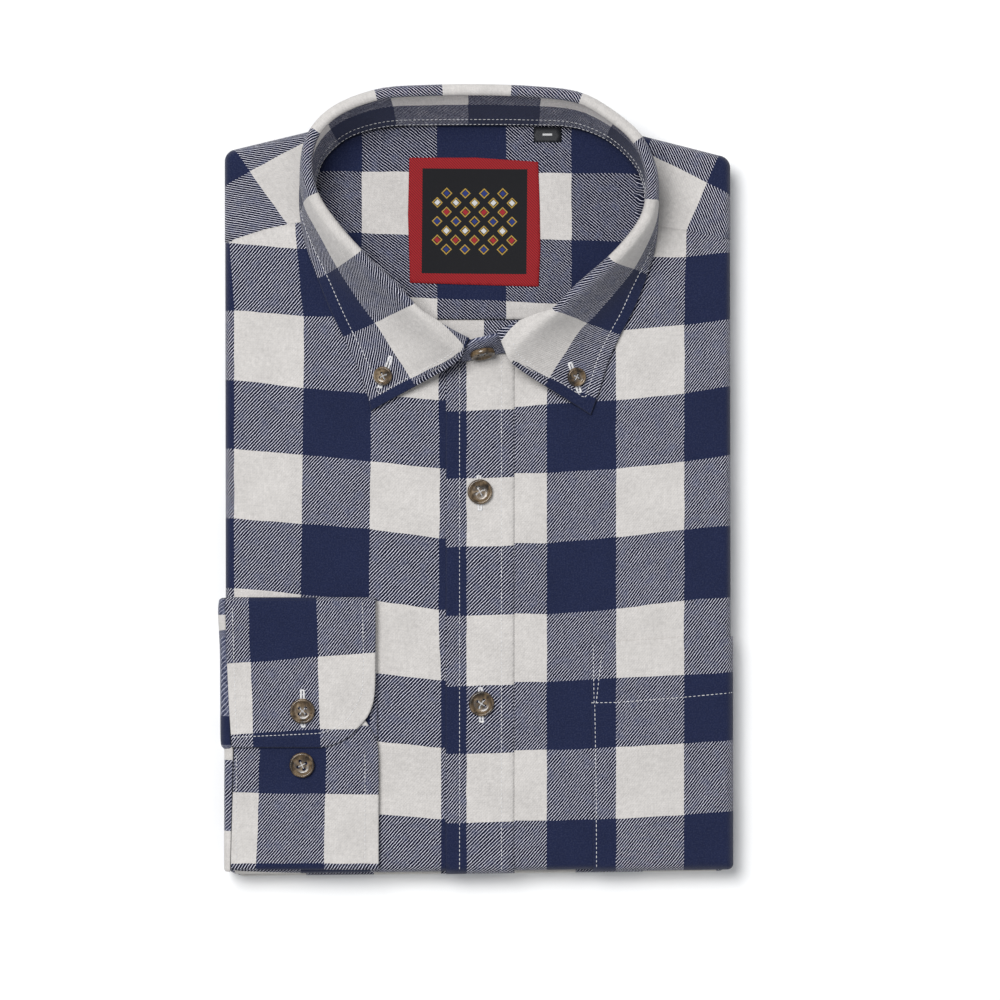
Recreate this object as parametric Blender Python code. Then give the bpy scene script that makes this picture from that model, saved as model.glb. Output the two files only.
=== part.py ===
"""A man's flannel shirt, folded flat with its collar buttoned and standing.

The shirt lies on its back, neck towards +Y, with its underside at z = 0. Every piece that shows is its own
wall of cloth. The fronts, yoke, placket and pocket roll round the fold's edges. The layers that the fold
hides share one rounded core. Sizes in this file are millimetres; place() turns them into metres.
"""

import math

import bpy
import numpy as np
from mathutils import Vector
from mathutils.geometry import delaunay_2d_cdt

MM = 0.001

# Driving sizes, in millimetres.
CLOTH = 1.2  # wall of one brushed flannel piece
POCKET_CLOTH = 1.0
COLLAR_CLOTH = 1.6  # two plies and their interlining
GAP = 0.3  # between neighbouring pieces
FOLD_RADIUS = 5.5  # outside of the front's rolled edge
FOLD_RETURN = 4.0  # how far the rolled edge turns back under
TIGHTEST_CORNER = 0.9  # smallest corner radius of an inset outline
EDGE_TOP = 22.3  # height of the front where its edge starts to roll
CROWN = 1.7  # how much higher the middle of the front stands
NECK_DIP = 3.0  # how far the inner yoke sags inside the neck
GRID = 13.0  # spacing of the points inside a panel
SIDE_STEP = 40.0  # spacing of the points along a straight edge

# The folded body seen from above, anticlockwise from the wearer's right side of the neck.
# x, y and corner radius.
BODY_CORNERS = (
    ("back neck", -43.0, 171.6, 9.0),
    ("right shoulder", -115.3, 154.3, 5.5),
    ("right hem fold", -114.8, -178.2, 6.0),
    ("left hem fold", 117.6, -173.8, 2.5),
    ("left shoulder", 117.0, 151.4, 5.5),
    ("back neck", 38.0, 171.4, 9.0),
)
# The layers below the front: the tail's fold peeps out past the front's.
UNDER_CORNERS = (
    ("back neck", -42.0, 169.8, 9.0),
    ("right shoulder", -113.4, 152.4, 6.0),
    ("right hem fold", -113.4, -182.6, 6.0),
    ("left hem fold", 116.6, -177.9, 4.0),
    ("left shoulder", 115.4, 149.6, 6.0),
    ("back neck", 37.0, 169.6, 9.0),
)
NECK_RIGHT, RIGHT_SHOULDER, RIGHT_HEM, LEFT_HEM, LEFT_SHOULDER = range(5)

# The collar stand, from its under end round the back of the neck to its over end.
# Seam on the body (x, y), how far the seam lies above the front, the collar's fold line (x, y, z), and how
# far the stand's top edge stops short of it.
STAND = (
    ("under end", 9.0, 61.6, 0.3, 8.6, 64.8, 33.5, 0.0),
    ("under the button", 0.0, 61.4, 0.3, 0.6, 67.4, 37.0, 0.0),
    ("right front", -12.5, 64.8, 1.9, -11.0, 73.6, 42.0, 2.4),
    ("right front", -23.5, 70.6, 0.6, -19.5, 79.4, 43.6, 2.6),
    ("right front", -35.5, 79.0, 0.3, -28.0, 86.6, 45.0, 2.8),
    ("right front", -48.0, 91.0, 0.3, -39.5, 96.6, 46.6, 2.8),
    ("right front", -59.0, 103.5, 0.3, -50.8, 107.6, 48.0, 2.0),
    ("right side", -69.5, 117.5, 0.3, -62.3, 119.8, 49.4, 1.0),
    ("right side", -74.0, 131.5, 0.3, -70.4, 133.4, 50.6, 0.7),
    ("right side", -73.0, 143.5, 0.3, -72.8, 147.8, 51.8, 0.7),
    ("right back", -68.0, 153.0, 0.3, -70.8, 159.8, 52.8, 0.7),
    ("right back", -57.0, 160.4, 0.3, -61.4, 170.2, 53.4, 0.7),
    ("right back", -40.0, 164.4, 0.3, -43.0, 176.6, 53.8, 0.7),
    ("back", -20.0, 164.8, 0.3, -21.0, 178.6, 54.0, 0.7),
    ("back", 2.0, 164.8, 0.3, 2.2, 179.2, 54.0, 0.7),
    ("back", 24.0, 164.8, 0.3, 25.0, 178.8, 54.0, 0.7),
    ("left back", 44.0, 164.2, 0.3, 47.0, 176.0, 53.8, 0.7),
    ("left back", 59.0, 159.6, 0.3, 64.0, 167.6, 53.4, 0.7),
    ("left back", 70.0, 152.0, 0.3, 73.4, 158.4, 52.8, 0.7),
    ("left side", 76.4, 143.0, 0.3, 77.6, 146.8, 51.8, 0.7),
    ("left side", 78.6, 131.5, 0.3, 77.6, 134.0, 50.6, 0.7),
    ("left side", 76.0, 118.5, 0.3, 72.8, 121.4, 49.4, 1.0),
    ("left front", 68.0, 104.5, 0.3, 62.4, 108.4, 48.0, 2.0),
    ("left front", 55.0, 91.0, 0.3, 49.6, 96.2, 46.6, 2.8),
    ("left front", 41.5, 78.0, 0.3, 36.6, 85.0, 45.0, 2.8),
    ("left front", 30.0, 68.0, 0.6, 26.6, 78.0, 43.6, 2.6),
    ("left front", 19.0, 60.0, 1.9, 17.0, 73.2, 42.2, 2.4),
    ("over the button", 8.0, 56.6, 1.9, 6.6, 68.2, 41.2, 0.0),
    ("over end", -2.0, 56.6, 1.9, -2.0, 66.4, 39.4, 0.0),
    ("over end", -6.6, 58.0, 1.9, -6.4, 62.2, 33.0, 0.0),
)

# The collar leaf. Where on the stand its roll sits (a row of STAND, or between two), how far the roll lies
# outside the stand's top edge and above it, how far it turns down inside, the leaf's outer edge (x, y, z),
# how far the leaf bows out below its roll, and how flat it runs out at the edge (0 hangs, 1 lies flat).
# A height of 0 rests on the body.
LEAF = (
    ("right point", 1.25, 6.2, -1.0, 0.0, -48.0, 34.7, 0.0, 5.0, 1.0),
    ("right point", 1.70, 5.4, -0.5, 0.0, -50.4, 44.6, 0.0, 5.0, 1.0),
    ("right point", 2.30, 4.0, 0.0, 0.0, -55.4, 57.6, 0.0, 5.0, 1.0),
    ("right front", 3.30, 2.0, 0.6, 0.0, -61.6, 70.2, 0.0, 5.5, 1.0),
    ("right front", 4.60, 0.0, 0.0, 1.5, -67.4, 82.6, 0.0, 6.0, 1.0),
    ("right front", 6.00, 0.0, 0.0, 3.0, -73.4, 97.6, 0.0, 7.0, 0.9),
    ("right side", 7.00, 0.0, 0.0, 4.0, -78.6, 112.0, 0.0, 7.0, 0.75),
    ("right side", 8.00, 0.0, 0.0, 4.5, -81.0, 127.0, 0.0, 7.0, 0.5),
    ("right side", 9.00, 0.0, 0.0, 5.0, -81.2, 144.0, 0.0, 6.0, 0.3),
    ("right shoulder", 10.0, 0.0, 0.0, 5.5, -79.0, 158.6, 25.4, 5.0, 0.1),
    ("right shoulder", 10.6, 0.0, 0.0, 5.5, -73.6, 169.0, 20.5, 4.5, 0.0),
    ("right back", 11.4, 0.0, 0.0, 6.0, -60.0, 176.2, 16.0, 4.0, 0.0),
    ("back", 12.6, 0.0, 0.0, 6.0, -30.0, 178.6, 13.6, 4.0, 0.0),
    ("back", 14.0, 0.0, 0.0, 6.0, 2.2, 179.2, 13.0, 4.0, 0.0),
    ("back", 15.4, 0.0, 0.0, 6.0, 34.0, 178.4, 13.6, 4.0, 0.0),
    ("left back", 16.6, 0.0, 0.0, 6.0, 60.0, 175.0, 16.0, 4.0, 0.0),
    ("left shoulder", 17.4, 0.0, 0.0, 5.5, 74.6, 168.0, 20.0, 4.5, 0.0),
    ("left shoulder", 18.0, 0.0, 0.0, 5.5, 81.6, 157.4, 24.8, 5.0, 0.1),
    ("left side", 19.0, 0.0, 0.0, 5.0, 84.0, 144.0, 0.0, 6.0, 0.3),
    ("left side", 20.0, 0.0, 0.0, 4.5, 84.0, 128.0, 0.0, 7.0, 0.5),
    ("left side", 21.0, 0.0, 0.0, 4.0, 83.0, 112.0, 0.0, 7.0, 0.75),
    ("left front", 22.0, 0.0, 0.0, 3.0, 79.2, 97.6, 0.0, 7.0, 0.9),
    ("left front", 23.6, 0.0, 0.0, 1.5, 73.2, 82.0, 0.0, 6.0, 1.0),
    ("left front", 24.7, 2.0, 0.6, 0.0, 67.2, 70.6, 0.0, 5.5, 1.0),
    ("left point", 25.6, 4.6, 0.0, 0.0, 61.2, 57.4, 0.0, 5.0, 1.0),
    ("left point", 26.2, 6.4, -0.5, 0.0, 57.2, 44.6, 0.0, 5.0, 1.0),
    ("left point", 26.7, 7.4, -1.0, 0.0, 53.1, 32.9, 0.0, 5.0, 1.0),
)

YOKE_SEAM_RIGHT = ((-115.3, 112.6), (-97.0, 117.6), (-84.0, 120.4), (-70.0, 121.4))
YOKE_SEAM_LEFT = ((117.6, 113.8), (97.5, 117.3), (84.3, 118.9), (74.0, 120.0))
FRONT_EDGES_MEET = 1.2  # x, hidden under the placket
PLACKET_LEFT, PLACKET_RIGHT = -13.5, 18.0  # x of its two long edges
PLACKET_NECK = ((18.0, 60.4), (8.0, 57.6), (-2.0, 57.8), (-8.0, 60.6), (-13.5, 64.4))
POCKET_TOP = ((118.4, -69.2), (95.4, -69.2), (74.0, -70.6), (53.6, -72.0))
POCKET_SIDE = ((53.6, -72.0), (55.6, -137.0), (55.4, -163.0))
INNER_YOKE_SEAM_Y = 76.9
LABEL = ((-30.7, 93.7), (29.2, 91.7), (28.9, 149.6), (-29.9, 151.7))
SIZE_TAB = ((26.8, 157.4), (39.5, 157.4), (39.5, 162.2), (26.8, 162.2))
LABEL_CLOTH = 1.0

# The right sleeve comes round the whole fold: its inner face as x, z, from the cuff down to the floor.
SLEEVE_PATH = ((-112.6, 25.6), (-115.7, 24.6), (-116.4, 21.0), (-116.5, 15.0), (-116.4, 8.0), (-115.2, 3.0))
# y, wall, and where the top end meets the cuff (x).
SLEEVE_ROWS = (
    ("upper fold", -51.6, 1.6, -114.7),
    ("upper", -56.0, 2.3, -114.4),
    ("upper", -76.0, 2.4, -113.6),
    ("upper", -98.0, 2.4, -112.7),
    ("opening", -117.5, 2.2, -112.4),
    ("opening", -120.4, 1.1, -113.2),
    ("lower", -140.0, 1.1, -113.3),
    ("lower", -162.0, 1.1, -113.4),
    ("lower fold", -177.0, 1.1, -113.6),
)

# The cuff, as one strip rolled up and pressed flat. Height of the strip's middle above the front, the
# strip's place (y), and the x of its sleeve seam and of its wrist edge.
CUFF_CLOTH = 1.6
CUFF = (
    ("over end", -119.9, 4.7, -110.9, -71.5),
    ("over end", -118.2, 4.7, -111.0, -64.0),
    ("over end", -114.6, 4.7, -111.3, -57.6),
    ("over end", -110.3, 4.7, -111.6, -53.4),
    ("over end", -104.5, 4.7, -112.0, -48.8),
    ("over end", -95.0, 4.7, -112.4, -46.2),
    ("over", -74.0, 4.7, -113.2, -45.8),
    ("over", -55.0, 4.7, -113.9, -45.8),
    ("top fold", -52.9, 4.3, -113.9, -45.8),
    ("top fold", -51.6, 2.75, -113.9, -45.7),
    ("top fold", -52.9, 1.2, -113.9, -45.6),
    ("back", -55.0, 0.8, -113.9, -45.5),
    ("back", -90.0, 0.8, -112.7, -45.2),
    ("back", -135.0, 0.8, -111.8, -44.8),
    ("back", -172.6, 0.8, -112.2, -44.4),
    ("bottom fold", -174.6, 1.1, -112.2, -44.4),
    ("bottom fold", -175.4, 2.2, -112.2, -44.4),
    ("bottom fold", -174.4, 3.2, -112.2, -44.4),
    ("under", -170.0, 3.1, -112.2, -44.4),
    ("under", -150.0, 2.8, -112.0, -44.4),
    ("under", -124.0, 2.7, -111.9, -44.5),
    ("under end", -104.0, 2.7, -111.9, -47.6),
)

BUTTON_SIZES = {"large": (11.6, 2.6), "small": (8.8, 2.2)}  # diameter and thickness
BUTTON_SIDES = 20
HOLE_SIDES = 6

COLOURS = {
    "check": (0.22, 0.24, 0.36),
    "button": (0.20, 0.11, 0.055),
    "label": (0.30, 0.024, 0.028),
    "tab": (0.012, 0.012, 0.016),
}


def material(name, colour, roughness):
    made = bpy.data.materials.new(name)
    made.use_nodes = True
    shader = made.node_tree.nodes["Principled BSDF"]
    shader.inputs["Base Color"].default_value = (*colour, 1.0)
    shader.inputs["Roughness"].default_value = roughness
    shader.inputs["Metallic"].default_value = 0.0
    return made


def place(name, points, faces, finish):
    """One named object in metres, from points in millimetres."""
    mesh = bpy.data.meshes.new(name)
    mesh.from_pydata([tuple(float(c) * MM for c in point) for point in points], [], faces)
    mesh.validate()
    mesh.shade_smooth()
    mesh.set_sharp_from_angle(angle=math.radians(40.0))
    made = bpy.data.objects.new(name, mesh)
    roughness = 0.4 if finish == "button" else 0.9
    made.data.materials.append(material(name, COLOURS[finish], roughness))
    bpy.context.scene.collection.objects.link(made)
    return made


def closed_wall(outer, inner, faces):
    """Points and faces of a wall between two matching sheets. The faces look along the outer side."""
    count = len(outer)
    uses = {}
    for face in faces:
        for a, b in zip(face, face[1:] + face[:1]):
            uses[(a, b)] = True
    rim = [(a, b) for a, b in uses if (b, a) not in uses]
    walls = list(faces)
    walls += [tuple(count + i for i in reversed(face)) for face in faces]
    walls += [(b, a, count + a, count + b) for a, b in rim]
    return np.vstack([outer, inner]), walls


def smooth_path(rows, at):
    """Point on a smooth curve through the rows, at a row number that need not be whole."""
    rows = np.asarray(rows, float)
    last = len(rows) - 1
    start = min(int(math.floor(at)), last - 1)
    t = at - start
    p0, p1 = rows[max(start - 1, 0)], rows[start]
    p2, p3 = rows[start + 1], rows[min(start + 2, last)]
    return p1 + 0.5 * t * (p2 - p0 + t * (2 * p0 - 5 * p1 + 4 * p2 - p3 + t * (3 * (p1 - p2) + p3 - p0)))


def body_top(x, y):
    """Height of the fronts' outer face."""
    return EDGE_TOP + CROWN * (1.0 - (x / 118.0) ** 2) * (1.0 - 0.25 * (y / 180.0) ** 2)


def neck_top(x, y):
    """Height of the inner yoke's face, under the fronts' neck edge and sagging inside the neck."""
    away = (x / 62.0) ** 2 + ((y - 118.0) / 48.0) ** 2
    return body_top(x, y) - CLOTH - GAP - NECK_DIP * max(0.0, 1.0 - away) ** 2


class Outline:
    """A rounded polygon whose corners stay round at every inset. Corners run anticlockwise."""

    def __init__(self, corners):
        self.corner = [np.array(row[1:3]) for row in corners]
        self.radius = [row[3] for row in corners]
        count = len(corners)
        self.along = []
        for i in range(count):
            side = self.corner[(i + 1) % count] - self.corner[i]
            self.along.append(side / np.linalg.norm(side))
        self.inward = [np.array((-d[1], d[0])) for d in self.along]

    def length(self, side):
        return np.linalg.norm(self.corner[(side + 1) % len(self.corner)] - self.corner[side])

    def point(self, station, inset):
        kind, i, where = station
        if kind == "side":
            return self.corner[i] + self.along[i] * where + self.inward[i] * inset
        before, after = self.inward[i - 1], self.inward[i]
        mitre = (before + after) / (1.0 + before @ after)
        radius = max(self.radius[i] - inset, TIGHTEST_CORNER)
        centre = self.corner[i] + mitre * (inset + radius)
        turn = math.atan2(before[0] * after[1] - before[1] * after[0], before @ after) * where
        c, s = math.cos(turn), math.sin(turn)
        towards = np.array((c * before[0] - s * before[1], s * before[0] + c * before[1]))
        return centre - towards * radius

    def side_at(self, side, axis, value):
        """Distance along a side where its x (axis 0) or y (axis 1) has this value."""
        return (value - self.corner[side][axis]) / self.along[side][axis]

    def stations(self, first_side, start, last_side, end):
        """Stations from a place on one side, round the corners, to a place on another."""
        count = len(self.corner)
        whole_way_round = first_side == last_side and end <= start
        found = []
        side, where = first_side, start
        while True:
            ends_here = side == last_side and (bool(found) or not whole_way_round)
            stop = end if ends_here else self.length(side) - 14.0
            if where <= stop:
                steps = max(1, round((stop - where) / SIDE_STEP))
                found += [("side", side, where + (stop - where) * k / steps) for k in range(steps + 1)]
            if ends_here:
                return found
            side = (side + 1) % count
            turn = math.acos(max(-1.0, min(1.0, float(self.inward[side - 1] @ self.inward[side]))))
            pieces = 5 if turn > 1.0 else 2
            found += [("corner", side, k / pieces) for k in range(pieces + 1)]
            where = 14.0


BODY = Outline(BODY_CORNERS)
UNDER = Outline(UNDER_CORNERS)


def resampled(line, step):
    """The polyline's points, with more between them where they lie far apart."""
    found = [np.array(line[0], float)]
    for a, b in zip(line, line[1:]):
        a, b = np.array(a, float), np.array(b, float)
        pieces = max(1, round(np.linalg.norm(b - a) / step))
        found += [a + (b - a) * k / pieces for k in range(1, pieces + 1)]
    return found


def inside(point, loop):
    """Whether a point lies in a closed loop of points, and how near its edge."""
    x, y = point
    hit = False
    nearest = 1e9
    for a, b in zip(loop, loop[1:] + loop[:1]):
        if (a[1] > y) != (b[1] > y) and x < a[0] + (y - a[1]) * (b[0] - a[0]) / (b[1] - a[1]):
            hit = not hit
        side = b - a
        along = max(0.0, min(1.0, float((point - a) @ side / (side @ side))))
        nearest = min(nearest, float(np.linalg.norm(point - a - side * along)))
    return hit, nearest


def filled(loop, step, holes=()):
    """Triangles over a closed loop, with an even net of points inside. Loop points keep their order.

    The further loops are crease lines that the triangles follow."""
    points = list(loop)
    edges = [(i, (i + 1) % len(loop)) for i in range(len(loop))]
    lines = [list(loop)]
    for hole in holes:
        first = len(points)
        points += list(hole)
        edges += [(first + i, first + (i + 1) % len(hole)) for i in range(len(hole))]
        lines.append(list(hole))
    low, high = np.min(loop, axis=0), np.max(loop, axis=0)
    for y in np.arange(low[1] + step / 2, high[1], step):
        for x in np.arange(low[0] + step / 2, high[0], step):
            point = np.array((x, y))
            hit, nearest = inside(point, lines[0])
            if not hit or nearest < 0.5 * step:
                continue
            if all(inside(point, line)[1] > 0.4 * step for line in lines[1:]):
                points.append(point)
    found = delaunay_2d_cdt([Vector(p) for p in points], edges, [list(range(len(loop)))], 1, 1e-4)
    new_points = [np.array(p) for p in found[0]]
    faces = [tuple(face) for face in found[2]]
    oriented = []
    for face in faces:
        a, b, c = (new_points[i] for i in face[:3])
        turn = (b[0] - a[0]) * (c[1] - a[1]) - (b[1] - a[1]) * (c[0] - a[0])
        oriented.append(face if turn > 0 else tuple(reversed(face)))
    return new_points, oriented


ROLL_ANGLES = [math.pi * k / 8 for k in range(1, 9)]


def folded_panel(name, stations, inner_line, lift, wall, step=GRID):
    """A panel that lies on the fold and rolls under along the stations of the body's outline.

    inner_line closes the panel across the top, from the last station back to the first."""
    ring = [BODY.point(s, FOLD_RADIUS) for s in stations]
    loop = ring + resampled(inner_line, step)
    flat, faces = filled(loop, step)
    if len(flat) < len(loop) or any(np.abs(a - b).max() > 1e-3 for a, b in zip(flat, loop)):
        raise ValueError(f"{name}: the loop's points were merged")
    sheets = []
    for raised in (lift, lift - wall):
        points = [(x, y, body_top(x, y) + raised) for x, y in flat]
        radius = FOLD_RADIUS + raised
        for angle in ROLL_ANGLES:
            for s, (x0, y0) in zip(stations, ring):
                x, y = BODY.point(s, FOLD_RADIUS - radius * math.sin(angle))
                z = body_top(x0, y0) - FOLD_RADIUS + radius * math.cos(angle)
                points.append((x, y, z))
        for s, (x0, y0) in zip(stations, ring):
            x, y = BODY.point(s, FOLD_RADIUS + FOLD_RETURN)
            points.append((x, y, body_top(x0, y0) - FOLD_RADIUS - radius))
        sheets.append(np.array(points))
    count = len(ring)
    rows = [list(range(count))]
    rows += [[len(flat) + k * count + i for i in range(count)] for k in range(len(ROLL_ANGLES) + 1)]
    for upper, lower in zip(rows, rows[1:]):
        for i in range(count - 1):
            faces.append((upper[i], lower[i], lower[i + 1], upper[i + 1]))
    points, walls = closed_wall(sheets[0], sheets[1], faces)
    return place(name, points, walls, "check")


def flat_panel(name, loop, height, wall, finish="check", step=GRID):
    """A panel with no rolled edge. height gives its upper face."""
    flat, faces = filled(resampled(loop + loop[:1], step)[:-1], step)
    outer = np.array([(x, y, height(x, y)) for x, y in flat])
    points, walls = closed_wall(outer, outer - (0.0, 0.0, wall), faces)
    return place(name, points, walls, finish)


def grid_normals(grid):
    """Unit normals of a grid of points, rows by columns."""
    down = np.gradient(grid, axis=0)
    across = np.gradient(grid, axis=1)
    normal = np.cross(down, across)
    return normal / np.linalg.norm(normal, axis=2, keepdims=True)


def grid_wall(name, outer, inner, finish="check"):
    """A wall between two grids of points that face each other."""
    rows, columns = outer.shape[:2]
    faces = []
    for i in range(rows - 1):
        for j in range(columns - 1):
            a = i * columns + j
            faces.append((a, a + columns, a + columns + 1, a + 1))
    facing = np.cross(outer[1, 0] - outer[0, 0], outer[0, 1] - outer[0, 0]) @ (outer[0, 0] - inner[0, 0])
    if facing < 0.0:
        faces = [tuple(reversed(face)) for face in faces]
    points, walls = closed_wall(outer.reshape(-1, 3), inner.reshape(-1, 3), faces)
    return place(name, points, walls, finish)


def button(name, size, centre, normal):
    """A four-hole button with a raised rim and a shallow dish, its back on the cloth at centre."""
    diameter, thick = BUTTON_SIZES[size]
    radius = diameter / 2
    profile = ((0.90, 0.0), (1.0, 0.35), (1.0, 0.70), (0.90, 1.0), (0.74, 1.0), (0.60, 0.62))
    turns = [2 * math.pi * k / BUTTON_SIDES for k in range(BUTTON_SIDES)]
    points, faces = [], []
    for share, height in profile:
        points += [(radius * share * math.cos(t), radius * share * math.sin(t), thick * height) for t in turns]
    for k in range(len(profile) - 1):
        for i in range(BUTTON_SIDES):
            a, b = k * BUTTON_SIDES + i, k * BUTTON_SIDES + (i + 1) % BUTTON_SIDES
            faces.append((a, b, b + BUTTON_SIDES, a + BUTTON_SIDES))
    reach, bore = 0.20 * radius, 0.11 * radius
    holes = []
    for quarter in range(4):
        away = math.pi / 4 + quarter * math.pi / 2
        middle = np.array((math.cos(away), math.sin(away))) * reach * math.sqrt(2)
        ring = [2 * math.pi * k / HOLE_SIDES for k in range(HOLE_SIDES)]
        holes.append([middle + np.array((math.cos(t), math.sin(t))) * bore for t in ring])
    bottoms = []
    for ring_index, height, up in ((len(profile) - 1, thick * profile[-1][1], True), (0, 0.0, False)):
        rim = [np.array(p[:2]) for p in points[ring_index * BUTTON_SIDES:(ring_index + 1) * BUTTON_SIDES]]
        flat = list(rim) + [p for hole in holes for p in hole]
        edges = [(i, (i + 1) % BUTTON_SIDES) for i in range(BUTTON_SIDES)]
        for h in range(4):
            first = BUTTON_SIDES + h * HOLE_SIDES
            edges += [(first + i, first + (i + 1) % HOLE_SIDES) for i in range(HOLE_SIDES)]
        found = delaunay_2d_cdt([Vector(p) for p in flat], edges, [list(range(BUTTON_SIDES))], 1, 1e-5)
        first_hole = len(points)
        points += [(p[0], p[1], height) for p in flat[BUTTON_SIDES:]]
        bottoms.append(first_hole)
        for face in found[2]:
            if min(face) >= BUTTON_SIDES and len({(i - BUTTON_SIDES) // HOLE_SIDES for i in face}) == 1:
                continue
            a, b, c = (flat[i] for i in face[:3])
            turn = (b[0] - a[0]) * (c[1] - a[1]) - (b[1] - a[1]) * (c[0] - a[0])
            face = tuple(face) if (turn > 0) == up else tuple(reversed(face))
            rename = [ring_index * BUTTON_SIDES + i if i < BUTTON_SIDES else first_hole + i - BUTTON_SIDES
                      for i in face]
            faces.append(tuple(rename))
    top, bottom = bottoms
    for h in range(4):
        for i in range(HOLE_SIDES):
            a = h * HOLE_SIDES + i
            b = h * HOLE_SIDES + (i + 1) % HOLE_SIDES
            faces.append((top + a, top + b, bottom + b, bottom + a))
    turn = Vector((0, 0, 1)).rotation_difference(Vector(normal))
    seat = np.array(centre, float) + np.array(normal) * GAP
    placed = [seat + np.array(turn @ Vector(p)) for p in points]
    return place(name, placed, faces, "button")


def height_on(grid, x, y):
    """Height of a grid of points at this place, seen from above, and the normal of its triangle."""
    best = (-1e9, None)
    rows, columns = grid.shape[:2]
    for i in range(rows - 1):
        for j in range(columns - 1):
            for corners in (((i, j), (i + 1, j), (i + 1, j + 1)), ((i, j), (i + 1, j + 1), (i, j + 1))):
                a, b, c = (grid[k] for k in corners)
                normal = np.cross(b - a, c - a)
                if abs(normal[2]) < 1e-9:
                    continue
                v = ((x - a[0]) * (c[1] - a[1]) - (y - a[1]) * (c[0] - a[0])) / normal[2]
                w = ((b[0] - a[0]) * (y - a[1]) - (b[1] - a[1]) * (x - a[0])) / normal[2]
                z = a[2] + v * (b[2] - a[2]) + w * (c[2] - a[2])
                if min(v, w, 1 - v - w) > -1e-6 and z > best[0]:
                    best = (z, normal * np.sign(normal[2]) / np.linalg.norm(normal))
    return best


def seat(grid, x, y, radius):
    """Where a button of this radius rests on a grid of points, and which way it faces."""
    around = [2 * math.pi * k / 8 for k in range(8)]
    spots = [(x, y)] + [(x + radius * math.cos(t), y + 0.7 * radius * math.sin(t)) for t in around]
    found = [height_on(grid, *spot) for spot in spots]
    normal = np.sum([n for _, n in found if n is not None], axis=0)
    normal /= np.linalg.norm(normal)
    centre = np.array((x, y, found[0][0]))
    rim = [np.array((*spot, z)) for spot, (z, n) in zip(spots, found) if n is not None]
    return centre + normal * max(float((p - centre) @ normal) for p in rim), normal


# --- The neck's shape, shared by every piece round it ---

SEAM = np.array([row[1:4] for row in STAND])
STAND_TOP = np.array([row[4:7] for row in STAND])
STAND_TUCK = np.array([row[7:8] for row in STAND])


def seam_shifted(first, last, outward):
    """The stand's seam on the body between two of its rows, moved outward in the plane."""
    found = []
    for i in range(first, last + 1):
        before, after = SEAM[max(i - 1, 0), :2], SEAM[min(i + 1, len(SEAM) - 1), :2]
        along = (after - before) / np.linalg.norm(after - before)
        found.append(SEAM[i, :2] + np.array((-along[1], along[0])) * outward)
    return found


def stand_grids():
    """Outer and inner face of the stand."""
    columns = 5
    rows = 2 * len(STAND) - 1
    middle = np.zeros((rows, columns, 3))
    for i in range(rows):
        x, y, above = smooth_path(SEAM, i / 2)
        foot = np.array((x, y, body_top(x, y) + above))
        top = smooth_path(STAND_TOP, i / 2)
        lean = np.linalg.norm((top - foot)[:2]) / np.linalg.norm(top - foot)
        foot[2] += lean * COLLAR_CLOTH / 2
        tuck = float(smooth_path(STAND_TUCK, i / 2)[0])
        top = top + (foot - top) * tuck / np.linalg.norm(foot - top)
        for j in range(columns):
            share = j / (columns - 1)
            middle[i, j] = foot + (top - foot) * share
    normal = -grid_normals(middle)
    return middle + normal * COLLAR_CLOTH / 2, middle - normal * COLLAR_CLOTH / 2


RIDGE = math.radians(75.0)  # how far round the collar's roll its ridge lies, from facing outward


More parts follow.
